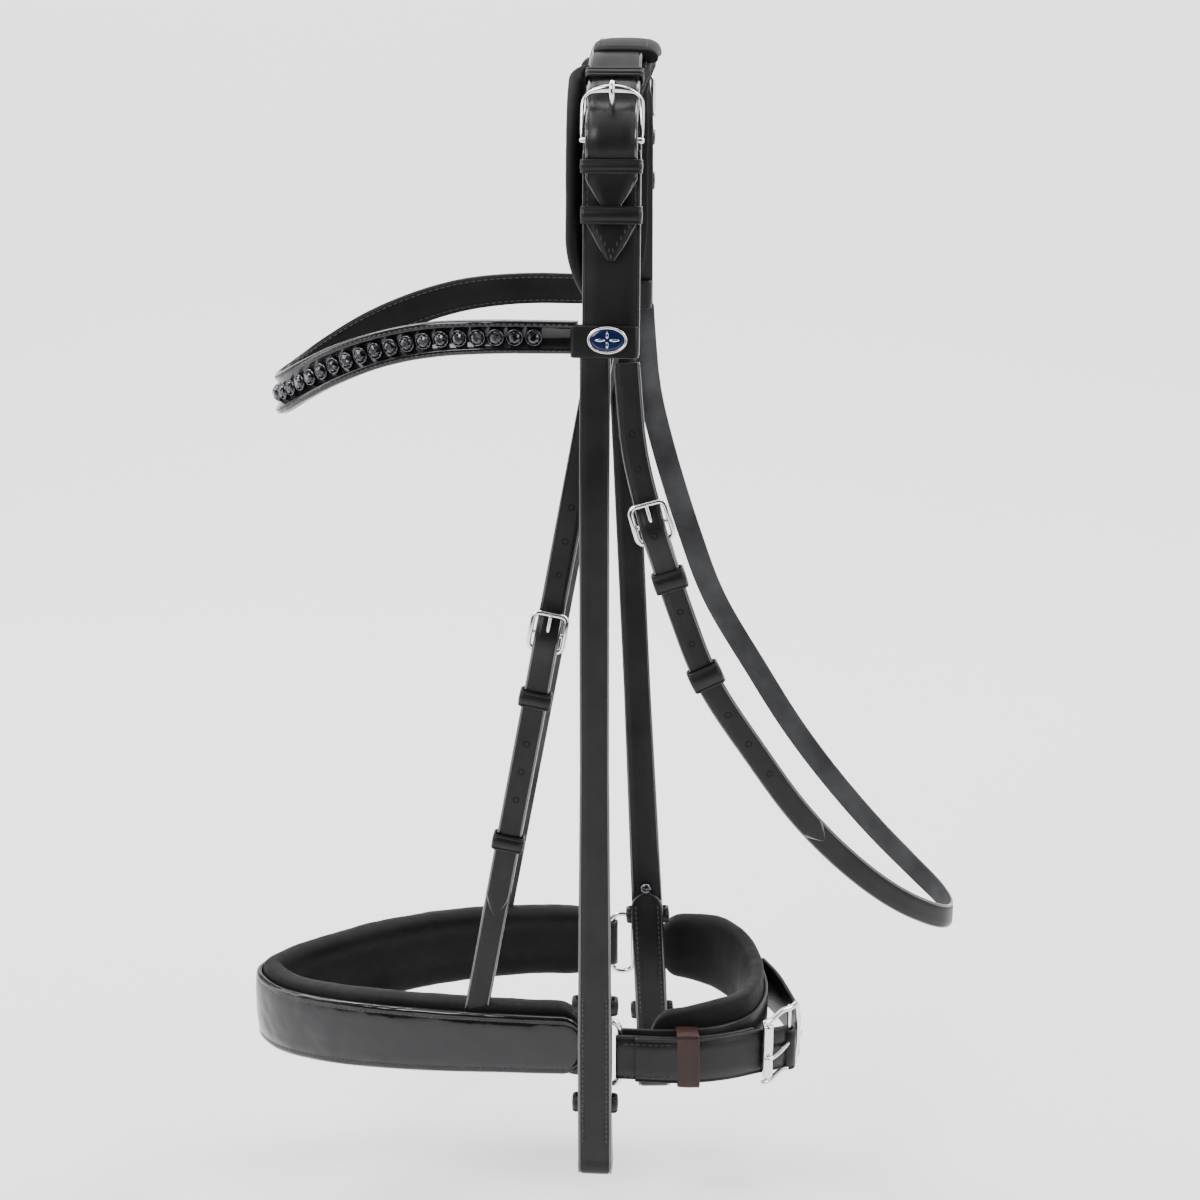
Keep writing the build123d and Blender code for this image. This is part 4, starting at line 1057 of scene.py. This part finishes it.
def build_cheek(side, label, origin, lean_in, lean_back, bow):
    """Cheekpiece folded round the place of the bit, with its stitching, keepers and hook stud."""
    down = Vector((sin(radians(lean_back)), -side * sin(radians(lean_in)), -1)).normalized()
    out = Vector((0, side, 0))
    out = (out - down * out.dot(down)).normalized()
    across = down.cross(out)
    body = f"{label}_cheek"

    def spot(d, h):
        return Vector(origin) + down * d + out * (h + bow * ease(d / BOW_LENGTH))

    outer = [(-9.0, 0), (10, 0), (60, 0), (140, 0), (230, 0), (330, 0), (400, 0), (420, -0.2), (432, -0.4)]
    inner = [(424, -5.2), (412, -3.2), (398, -2.6), (360, -2.5), (333, -2.5)]
    turns = [radians(-30 + 240 * k / 14) for k in range(15)]
    fold = [(BIT_D + 5.6 * sin(a), -5.4 + 5.6 * cos(a)) for a in turns]
    line = smooth([spot(d, h) for d, h in outer + fold + inner], 2.0)
    track = Track(line, [across.cross(t) for t in tangents(line)])
    ribbon(f"{label}_cheek_strap", track, 18.5, LAYER, LEATHER, body, [f"{label}_cheekpiece"],
           widths=CHEEK_WIDTHS + [(track.length, 18.5)], tip="round", two_faced=True)
    for name, depth, facing in (("stitch", 0, out), ("stitch_inner", -2.5, -out)):
        face = Track([spot(d, depth) for d in range(2, 431, 3)], [facing] * len(range(2, 431, 3)))
        stitches(f"{label}_cheek_{name}", face, [6.3, -6.3], body, 338, 426, 3.0, LAYER / 2 + 0.2, 0.36)
    low, high = (-5.2, -1.7) if side == NEAR else (-0.9, 2.4)
    for index, d in enumerate((347.0, 405.5)):
        keeper_loop(f"{label}_bit_keeper_{index}", spot(d, 0), down, out, 20.6, low, high, 2.0, 9.0,
                    LEATHER, body, [f"{label}_bit_keepers"] if index == 0 else ())
    bm = bmesh.new()
    turned(bm, spot(330, -3.9), down, across, out, ((2.6, 1.2), (3.2, 0.5), (3.0, -0.5), (1.8, -1.2)), 20)
    finish_piece(f"{label}_stud", bm, DARK_METAL, body, True, [f"{label}_hook_stud"])


build_cheek(NEAR, "near", (-7.5, -69.4, CHEEK_TOP_Z), 0, 0, 6.6)
build_cheek(FAR, "far", (-4, 69.4, CHEEK_TOP_Z), 6, 3.2, 0)

# ------------------------------------------------------------------ throatlash
THROAT_SIDE = [(7.6, -130), (8.5, -142), (12, -179), (20, -213), (36, -264), (50, -300), (75, -341),
               (97, -374), (120, -402), (146, -428), (170, -447), (196, -464)]
THROAT_PLAN = mirrored([(2, -72.2), (9, -73), (20, -73), (50, -71), (76, -66), (100, -59.5), (122, -51.5),
                        (145, -41), (165, -29), (181, -14.5), (186, 0)])
THROAT_BAR_Z, THROAT_KEEPER_Z, THROAT_RUNNER_Z = -221.0, -246.0, -297.0


def throat_track(lift):
    """Line of the throatlash: its plan carried down the side curve, lifted outward."""
    side_curve = smooth2(THROAT_SIDE, 1.5)
    plan = smooth([(x, y, 0) for x, y in THROAT_PLAN], 1.5)
    points, normals = [], []
    for p, t in zip(plan, tangents(plan)):
        if p.x < THROAT_SIDE[0][0]:
            continue
        out = Vector((t.y, -t.x, 0))
        q = p + out * lift
        points.append(Vector((q.x, q.y, lookup(side_curve, p.x))))
        normals.append(out)
    return resampled_track(points, normals, 2.0)


def resampled_track(points, normals, step):
    """Track through the points, evened out to about step apart."""
    rough = Track(points, normals)
    count = int(rough.length / step)
    samples = [rough.at(rough.length * i / count) for i in range(count + 1)]
    return Track([s[0] for s in samples], [s[2] for s in samples])


def station_at_z(track, z):
    """Distance along a track where it passes height z on the near side."""
    for d, p, q in zip(track.station, track.points, track.points[1:]):
        if (p.z - z) * (q.z - z) <= 0 and p.y < 0:
            return d + (p - q).length * (p.z - z) / (p.z - q.z + 1e-9)
    return 0.0


throat = throat_track(-1.1)
bar_d = station_at_z(throat, THROAT_BAR_Z)
lower = throat.part(bar_d + 6, throat.length)
ribbon("throatlash_lower", lower, 13, 2.2, LEATHER, "throatlash", ["throatlash_strap"], crease=1.4,
       back=FLESH)
BEND = [(-88, .3), (-50, .3), (-24, .3), (-16, .6), (-10, 2.4), (-4, 5.2), (2, 5.9), (9, 4.6), (18, 2.6),
        (30, 1.6), (45, 1.3), (65, 1.2), (105, 1.2), (215, 1.2)]
start_d, end_d = 2.0, station_at_z(throat, -392)
points, normals = [], []
steps = int((end_d - start_d) / 2)
bends = smooth_heights(BEND, [start_d - bar_d + 2.0 * i for i in range(steps + 1)])
for i in range(steps + 1):
    place, tangent, normal, across = throat.at(start_d + 2.0 * i, 0, max(bends[i].y, 0.3) + 1.1)
    points.append(place)
    normals.append(normal)
billet = Track(points, normals)
ribbon("throatlash_upper", billet, 13, 2.2, LEATHER, "throatlash", ["throatlash_billet"], crease=1.4,
       tip="point")
THROAT_HOLES_Z = (-171.5, -189, -206.5, -221.5, -262, -279, -317.5, -334, -351)
holes("throatlash_holes", billet, [station_at_z(billet, z) for z in THROAT_HOLES_Z], "throatlash", 1.35)
for label, z, length, body in (("keeper", THROAT_KEEPER_Z, 10.5, "throatlash"),
                               ("runner", THROAT_RUNNER_Z, 11.5, "throatlash_runner_body")):
    place, tangent, normal, across = throat.at(station_at_z(throat, z))
    keeper_loop(f"throatlash_{label}_loop", place, tangent, normal, 14.2, -1.5, 4.4, 1.3, length,
                LEATHER, body, [f"throatlash_{label}"])


def small_buckle(prefix, place, tangent, normal, body, tongue_body, half_width, half_length):
    """Rounded buckle round a strap: its bar at place, its far end up the strap."""
    across = tangent.cross(normal)
    centre = place - tangent * (half_length * 0.55) + normal * 3.4
    buckle_loop(f"{prefix}_frame", centre, across, tangent, normal, half_width, half_length, 3.4, 1.35,
                body, [f"{prefix}_buckle"], arch=1.2, flat=0.9)
    bar = centre + tangent * (half_length * 0.1) - normal * 0.5
    tube(f"{prefix}_bar", [bar - across * half_width, bar + across * half_width], 1.05, STEEL, body)
    tip = centre - tangent * (half_length - 0.4) + normal * 2.6
    line = smooth([bar + normal * 1.0, bar - tangent * 3 + normal * 3.0, tip], 0.7)
    count = len(line) - 1
    tube(f"{prefix}_prong", line, [1.15 - 0.3 * i / count for i in range(count + 1)], STEEL,
         tongue_body, [f"{prefix}_tongue"])


bar_place, bar_tangent, bar_normal, _ = throat.at(bar_d)
small_buckle("throatlash", bar_place, bar_tangent, bar_normal, "throatlash", "throatlash_tongue_body",
             9.0, 9.6)

# ------------------------------------------------------------------ hangers
HANGER_TOP, HANGER_LOW, HANGER_Y = (-7, -144), (-74.5, -505), 59.0
hanger_run = Vector((HANGER_LOW[0] - HANGER_TOP[0], 0, HANGER_LOW[1] - HANGER_TOP[1]))
HANGER_LENGTH = hanger_run.length
hanger_down = hanger_run.normalized()


def hanger_spot(d, out, side):
    return Vector((HANGER_TOP[0], side * (HANGER_Y + out), HANGER_TOP[1])) + hanger_down * d


def hanger_track(start, end, heights, side, step=2.0):
    count = int((end - start) / step)
    values = [start + (end - start) * i / count for i in range(count + 1)]
    bent = smooth_heights(heights, values)
    return Track([hanger_spot(d, v.y, side) for d, v in zip(values, bent)],
                 [Vector((0, side, 0))] * (count + 1))


ribbon("far_hanger", hanger_track(-10, HANGER_LENGTH, [(-12, 1.2), (400, 1.2)], FAR), 13, 2.2, LEATHER,
       "noseband", ["far_hanger_strap"], crease=1.4, back=FLESH)
ribbon("near_hanger_lower", hanger_track(148, HANGER_LENGTH, [(148, 1.2), (400, 1.2)], NEAR), 13, 2.2,
       LEATHER, "noseband", ["near_hanger_strap"], crease=1.4)
HANGER_BEND = [(-12, 1.2), (0, 1.2), (40, 1.2), (80, 1.2), (110, 1.2), (122, 1.4), (128, 2.6), (133, 4.8),
               (139, 6.8), (144, 6.8), (152, 4.9), (162, 4.0), (175, 3.7), (298, 3.7)]
hanger_billet = hanger_track(-10, 298, HANGER_BEND, NEAR)
ribbon("near_hanger_upper", hanger_billet, 13, 2.2, LEATHER, "noseband", ["near_hanger_billet"],
       crease=1.4, tip="point")
holes("near_hanger_holes", hanger_billet, (80, 98, 116, 210, 226, 242), "noseband", 1.35)
for label, d, body in (("keeper", 174, "noseband"), ("runner", 256, "near_hanger_runner_body")):
    keeper_loop(f"near_hanger_{label}_loop", hanger_spot(d, 1.2, NEAR), hanger_down, Vector((0, -1, 0)),
                14.2, -1.5, 4.4, 1.3, 8.8, LEATHER, body, [f"near_hanger_{label}"])
small_buckle("near_hanger", hanger_spot(142, 0.6, NEAR), hanger_down, Vector((0, -1, 0)), "noseband",
             "near_hanger_tongue_body", 8.8, 9.6)

# ------------------------------------------------------------------ nosepiece
NOSE_PLAN = mirrored([(-13, -68), (-50, -67.5), (-90, -63.5), (-130, -54.5), (-165, -41), (-195, -21),
                      (-207, 0)])
PATENT_TOP = [(-225, -507), (-190, -505.5), (-150, -501), (-110, -497.5), (-60, -495.5), (0, -495.5)]
PATENT_LOW = [(-225, -549), (-190, -546), (-150, -540.5), (-110, -535.5), (-60, -531), (0, -529.5)]
patent_section = [(0.0, -3.0), (0.0, -1.6), (0.01, -0.6), (0.035, 0.0), (0.075, 0.35), (0.095, 0.05),
                  (0.115, 0.4), (0.25, 0.95), (0.5, 1.15), (0.75, 0.95), (0.885, 0.4), (0.905, 0.05),
                  (0.925, 0.35), (0.965, 0.0), (0.99, -0.6), (1.0, -1.6), (1.0, -3.0), (0.5, -3.2)]
band("nosepiece_face", NOSE_PLAN, 0, (PATENT_LOW, PATENT_TOP), patent_section, PATENT, "noseband",
     ["nosepiece_patent"], start_round=13)
for share, label in ((0.095, "low"), (0.905, "high")):
    track = plan_track(NOSE_PLAN, 0, between(PATENT_LOW, PATENT_TOP, share))
    stitches(f"nosepiece_stitch_{label}", track, [0.0], "noseband", 11, track.length - 11, 3.1, 0.28, 0.32)
pad_top = [(x, z + 4.5) for x, z in PATENT_TOP]
pad_low = [(x, z - 3.5) for x, z in PATENT_LOW]
pad_section = [(0.03, -6.5), (0.0, -8.5), (0.0, -11.5), (0.03, -14.6), (0.09, -16.6), (0.17, -16.6),
               (0.25, -15.4), (0.30, -14.6), (0.5, -14.6), (0.70, -14.6), (0.75, -15.4), (0.83, -16.6),
               (0.91, -16.6), (0.97, -14.6), (1.0, -11.5), (1.0, -8.0), (0.985, -5.0), (0.94, -3.6),
               (0.5, -3.4), (0.06, -3.6)]
nose_pad = band("nosepiece_cushion", NOSE_PLAN, 0, (pad_low, pad_top), pad_section, NAPPA, "noseband",
                ["nosepiece_pad"], start_round=16, step=3.0)


def puff(piece, pressure, pinned, amount, cell):
    """Cloth under pressure for a band-shaped cushion, then a smooth skin with slow unevenness."""
    inflate(piece, pressure, pinned)
    piece.modifiers.new("round", "SUBSURF").levels = 1
    puckers(piece.name + "_uneven", amount, cell, piece)


puff(nose_pad, 3.0, lambda p: p.x > -24, 0.9, 14)


RING_Y = 65.5


def build_side_rings(side, label):
    """Metal ring that joins nosepiece and chin strap, and the leather fold that holds it."""
    centre = Vector((-1, side * RING_Y, -516.5))
    buckle_loop(f"{label}_ring_rod", centre, FRONT_TO_BACK, UP, Vector((0, side, 0)), 6.4, 18.9, 5.4, 1.6,
                "noseband", [f"{label}_ring"])

    def bend(radius, first, last, count):
        turns = [radians(first + (last - first) * k / count) for k in range(count + 1)]
        return [(-7.4 + radius * cos(a), RING_Y + radius * sin(a)) for a in turns]

    outline = [(-22, 62.6)] + bend(3.6, -90, 90, 24) + [(-22, 65.9), (-22, 65.2)] + bend(1.9, 90, -90, 12)
    outline.append((-22, 64.2))
    bm = bmesh.new()
    bridge_rings(bm, [[Vector((x, side * y, -503 - 27 * i / 8)) for x, y in outline] for i in range(9)])
    finish_piece(f"{label}_ring_fold", bm, LEATHER, "noseband", True, [f"{label}_ring_tab"])


for side, label in SIDES:
    build_side_rings(side, label)

# ------------------------------------------------------------------ chin strap
CHIN_HALF = [(5.4, -62), (30, -61.8), (46, -59.5), (61, -52.5), (74, -38), (81, -18), (83, 0)]
CHIN_PLAN = mirrored(CHIN_HALF)
CHIN_TOP = [(-10, -503), (20, -503), (50, -503), (80, -507), (104, -521)]
CHIN_LOW = [(-10, -530), (20, -530), (50, -530.5), (80, -534.5), (104, -541)]
CHIN_PAD_PLAN = mirrored([(20, -61.9), (30, -61.8), (46, -59.5), (61, -52.5), (74, -38), (81, -18), (83, 0)])
CHIN_PAD_TOP = [(20, -494), (35, -493), (60, -490.5), (90, -497)]
CHIN_PAD_LOW = [(20, -533), (35, -534), (60, -537.5), (90, -542)]
inner_section = [(0, 0.3), (0, 1.6), (0.02, 2.1), (0.5, 2.25), (0.98, 2.1), (1, 1.6), (1, 0.3), (0.98, 0.02),
                 (0.5, 0), (0.02, 0.02)]
band("chin_inner_strap", CHIN_PLAN, 0, (CHIN_LOW, CHIN_TOP), inner_section, LEATHER, "noseband",
     ["chin_strap"], outward=1)
chin_pad_section = [(0.06, -0.3), (0.02, -1.2), (0.0, -4.5), (0.03, -8.2), (0.12, -10.4), (0.3, -11.2),
                    (0.5, -11.3), (0.7, -11.2), (0.88, -10.4), (0.97, -8.2), (1.0, -4.5), (0.98, -1.2),
                    (0.94, -0.3), (0.5, -0.2)]
chin_pad = band("chin_cushion", CHIN_PAD_PLAN, 0, (CHIN_PAD_LOW, CHIN_PAD_TOP), chin_pad_section, NAPPA,
                "noseband", ["chin_pad"], outward=1, step=3.0, start_round=14)
puff(chin_pad, 3.0, lambda p: p.x < 22, 0.8, 12)

BILLET_PLAN = [(3.4, -68.8), (14, -68.8), (25, -68.8), (36, -68.3), (45, -66.6), (54, -63.4), (62, -59.5),
               (70, -54.2), (76, -49.5), (84, -43.2), (90, -37.5), (93, -33)]
RUN_TOP = [(-10, -503.5), (20, -503.5), (50, -504), (80, -507.5), (104, -516)]
RUN_LOW = [(-10, -529.5), (20, -529.5), (50, -530.5), (80, -534), (104, -540)]


def leather_band(name, plan, offset, edges, body, replaces=(), width=27, thickness=2.2):
    """Upright strap with creased edges, round a plan between its two edge lines."""
    section = [(u / width + 0.5, v + thickness / 2)
               for u, v, _ in strap_section(width, thickness, 1.7, 0.25, 0.5)]
    return band(name, plan, offset, edges, section, LEATHER, body, replaces, outward=1, step=1.5)


leather_band("chin_outer_under", BILLET_PLAN[:9], 0.0, (RUN_LOW, RUN_TOP), "noseband")
leather_band("chin_outer_billet", BILLET_PLAN[1:], 2.4, (RUN_LOW, RUN_TOP), "noseband")
outer_track = plan_track(BILLET_PLAN, 4.6, between(RUN_LOW, RUN_TOP, 0.5), outward=1, step=1.0)
hole_at = []
for x in (31, 52, 70):
    for d, p, q in zip(outer_track.station, outer_track.points, outer_track.points[1:]):
        if (p.x - x) * (q.x - x) <= 0:
            hole_at.append(d)
            break
holes("chin_holes", outer_track, hole_at, "noseband", 0.15, 1.4)
for share, label in ((0.12, "low"), (0.88, "high")):
    track = plan_track(BILLET_PLAN, 4.6, between(RUN_LOW, RUN_TOP, share), outward=1)
    stitches(f"chin_stitch_{label}", track, [0.0], "noseband", 4, 30, 3.0, 0.2, 0.28)

# sliding runner
keeper_loop("chin_runner_loop", Vector((42, -67.8, -516.6)), Vector((1, 0, 0.02)), Vector((0.12, -1, 0)),
            29.0, -5.0, 3.9, 1.5, 12.2, BROWN, "chin_runner_body", ["chin_runner"], lines=False)

# roller buckle: two bowed side arms joined by the roller pin and the bar
ROLLER_AT, BAR_AT = (85.0, -52.4), (96.6, -35.0)
ARM_TOP_Z, ARM_LOW_Z = -501.3, -537.7
ROLLER_PROFILE = ((2.2, -535.4), (2.75, -535.0), (2.95, -534.2), (3.0, -530), (3.05, -519.5), (3.0, -509),
                  (2.95, -504.8), (2.75, -504.0), (2.2, -503.6))
arm_plan = smooth([(83.0, -54.5, 0), (86.0, -52.5, 0), (89.8, -45.5, 0), (93.2, -40.0, 0), (97.6, -36.5, 0),
                   (100.5, -31.0, 0)], 0.8)


def build_roller_buckle():
    """Frame, pin and turning roller, then the bar and its prong."""
    path = [Vector((p.x, p.y, ARM_TOP_Z)) for p in arm_plan]
    for k in range(1, 8):
        path.append(Vector((100.5 + 1.2 * sin(pi * k / 8), -31.0, ARM_TOP_Z - 4.55 * k)))
    path += [Vector((p.x, p.y, ARM_LOW_Z)) for p in reversed(arm_plan)]
    tube("chin_buckle_frame", smooth(resample(path, 1.2), 0.8), 1.45, STEEL, "noseband", ["chin_buckle"])
    axis = Vector((ROLLER_AT[0], ROLLER_AT[1], 0))
    tube("chin_roller_pin", [axis + UP * ARM_LOW_Z, axis + UP * ARM_TOP_Z], 1.4, STEEL, "noseband")
    bm = bmesh.new()
    turned(bm, axis, FRONT_TO_BACK, Vector((0, 1, 0)), UP, ROLLER_PROFILE, 28)
    finish_piece("chin_roller_sleeve", bm, STEEL, "chin_roller_body", True, ["chin_roller"])
    bar = Vector((BAR_AT[0], BAR_AT[1], 0))
    tube("chin_buckle_bar", [bar + UP * ARM_LOW_Z, bar + UP * ARM_TOP_Z], 1.2, STEEL, "noseband")
    prong = smooth([(96.6, -37.2, -522), (94.4, -42.5, -522), (91.0, -50.0, -522), (86.8, -56.3, -522),
                    (84.6, -57.2, -522)], 0.7)
    count = len(prong) - 1
    tube("chin_prong", prong, [1.5 - 0.4 * i / count for i in range(count + 1)], STEEL,
         "chin_tongue_body", ["chin_tongue"])
    eye = circle(bar + UP * -522, FRONT_TO_BACK, Vector((0, 1, 0)), 2.4, 20)
    tube("chin_prong_eye", eye, 1.15, STEEL, "chin_tongue_body", closed=True)


build_roller_buckle()

# chape that holds the buckle, its fold round the bar and its rivet
CHAPE_PLAN = [(97.6, -32), (101.5, -22), (102, -10), (98.5, 4), (91, 19), (82, 34)]
CHAPE_TOP = [(60, -505.5), (80, -507.5), (90, -510), (97, -515), (104, -518)]
CHAPE_LOW = [(60, -532), (80, -534.5), (90, -536.5), (97, -539), (104, -541)]
leather_band("chin_chape_strap", CHAPE_PLAN, -1.1, (CHAPE_LOW, CHAPE_TOP), "noseband", ["chin_chape"])


def build_chape_fold():
    """Leather turned round the buckle's bar, and the stitching of the chape behind it."""
    section = strap_section(24, 1.8, 1.5, 0.1)
    centre = Vector((BAR_AT[0], BAR_AT[1], -526.5))
    rings = []
    for k in range(17):
        a = radians(60 - 250 * k / 16)
        direction = Vector((cos(a), sin(a), 0))
        rings.append([centre + direction * (3.2 + v) + UP * u for u, v, _ in section])
    bm = bmesh.new()
    bridge_rings(bm, rings)
    finish_piece("chin_chape_fold", bm, LEATHER, "noseband")
    track = plan_track(CHAPE_PLAN, 1.1, between(CHAPE_LOW, CHAPE_TOP, 0.5), outward=1, step=1.0)
    stitches("chin_chape_stitch", track, [9.5, -9.5], "noseband", 6, 40, 3.0, 0.15, 0.28)


def build_rivet():
    out = Vector((0.99, -0.12, 0)).normalized()
    bm = bmesh.new()
    turned(bm, Vector((103.6, -16, -528)), out.cross(UP), UP, out,
           ((2.8, -0.6), (2.8, 0.1), (2.3, 0.75), (1.2, 1.15), (0.2, 1.25)), 24)
    finish_piece("chin_rivet_head", bm, STEEL, "noseband", True, ["chin_rivet"])


def build_far_keepers():
    for index, (x, y, nx, ny) in enumerate(((45.5, 62.2, 0.22, 0.975), (62.6, 54.6, 0.62, 0.785))):
        keeper_loop(f"chin_far_keeper_{index}", Vector((x, y, -517 - index * 2)), Vector((ny, -nx, 0)),
                    Vector((nx, ny, 0)), 28.2, -1.4, 4.4, 1.4, 8.5, LEATHER, "noseband",
                    ["chin_keepers"] if index == 0 else ())


build_chape_fold()
build_rivet()
build_far_keepers()


# ------------------------------------------------------------------ stage, light and camera
def build_stage():
    """Pale sweep of floor and backdrop, below and behind the hanging bridle."""
    bm = bmesh.new()
    profile = [(-2600, -640), (600, -640), (1100, -640), (1400, -600), (1580, -480), (1660, -260),
               (1680, 200), (1680, 2600)]
    rings = []
    for y, z in smooth2(profile, 40):
        rings.append([Vector((x, y, z)) for x in (-3600, -1200, 1200, 3600)])
    bridge_rings(bm, rings, close_section=False, cap=False)
    mesh = bpy.data.meshes.new("sweep")
    bmesh.ops.recalc_face_normals(bm, faces=bm.faces)
    bmesh.ops.scale(bm, vec=(MM, MM, MM), verts=bm.verts)
    bm.to_mesh(mesh)
    bm.free()
    for face in mesh.polygons:
        face.use_smooth = True
    floor = bpy.data.objects.new("sweep", mesh)
    bpy.context.scene.collection.objects.link(floor)
    material = new_material("pale_floor", (0.86, 0.86, 0.87), 0.9)
    mesh.materials.append(material)


def area_light(name, place, target, size, power):
    """Soft rectangular lamp aimed at a target; lengths in metres, power in watts."""
    lamp = bpy.data.lights.new(name, "AREA")
    lamp.shape = "RECTANGLE"
    lamp.size, lamp.size_y = size
    lamp.energy = power
    holder = bpy.data.objects.new(name, lamp)
    holder.location = place
    holder.rotation_euler = (Vector(target) - Vector(place)).to_track_quat("-Z", "Y").to_euler()
    bpy.context.scene.collection.objects.link(holder)


build_stage()


def build_world():
    """Soft studio surround: dark in front of the bridle, brightening to white behind it."""
    world = bpy.data.worlds.new("studio")
    bpy.context.scene.world = world
    world.use_nodes = True
    tree = world.node_tree
    tree.nodes["Background"].inputs["Strength"].default_value = 1.0
    place = tree.nodes.new("ShaderNodeTexCoord")
    parts = tree.nodes.new("ShaderNodeSeparateXYZ")
    ramp = tree.nodes.new("ShaderNodeValToRGB")
    spread = tree.nodes.new("ShaderNodeMapRange")
    spread.inputs["From Min"].default_value = -1.0
    ramp.color_ramp.elements[0].position = 0.10
    ramp.color_ramp.elements[0].color = (0.05, 0.05, 0.055, 1)
    ramp.color_ramp.elements[1].position = 0.52
    ramp.color_ramp.elements[1].color = (1.0, 1.0, 1.0, 1)
    tree.links.new(place.outputs["Generated"], parts.inputs["Vector"])
    tree.links.new(parts.outputs["Y"], spread.inputs["Value"])
    tree.links.new(spread.outputs["Result"], ramp.inputs["Fac"])
    tree.links.new(ramp.outputs["Color"], tree.nodes["Background"].inputs["Color"])


build_world()
area_light("key", (-1.1, -1.3, 1.0), (0.0, 0.0, -0.3), (0.7, 0.9), 30)
area_light("fill", (1.6, -0.9, 0.5), (0.0, 0.0, -0.3), (0.6, 1.4), 18)
area_light("top", (0.0, 0.2, 1.6), (0.0, 0.0, -0.2), (1.4, 0.8), 26)
area_light("front", (-1.7, -0.1, 0.1), (-0.1, 0.0, -0.3), (0.6, 1.4), 12)
area_light("back_left", (-1.3, 0.5, 1.2), (-0.3, 1.6, -0.2), (0.8, 0.8), 45)
area_light("back_right", (1.3, 0.5, 1.2), (0.3, 1.6, -0.2), (0.8, 0.8), 45)

lens = bpy.data.cameras.new("camera")
lens.lens = 66.0
lens.sensor_width = 36.0
lens.clip_start = 0.05
camera = bpy.data.objects.new("camera", lens)
yaw, pitch = radians(4.0), radians(18.0)
camera.location = (0.0682, -1.1176, 0.083)
look = Vector((-sin(yaw) * cos(pitch), cos(yaw) * cos(pitch), -sin(pitch)))
camera.rotation_euler = look.to_track_quat("-Z", "Y").to_euler()
bpy.context.scene.collection.objects.link(camera)
bpy.context.scene.camera = camera
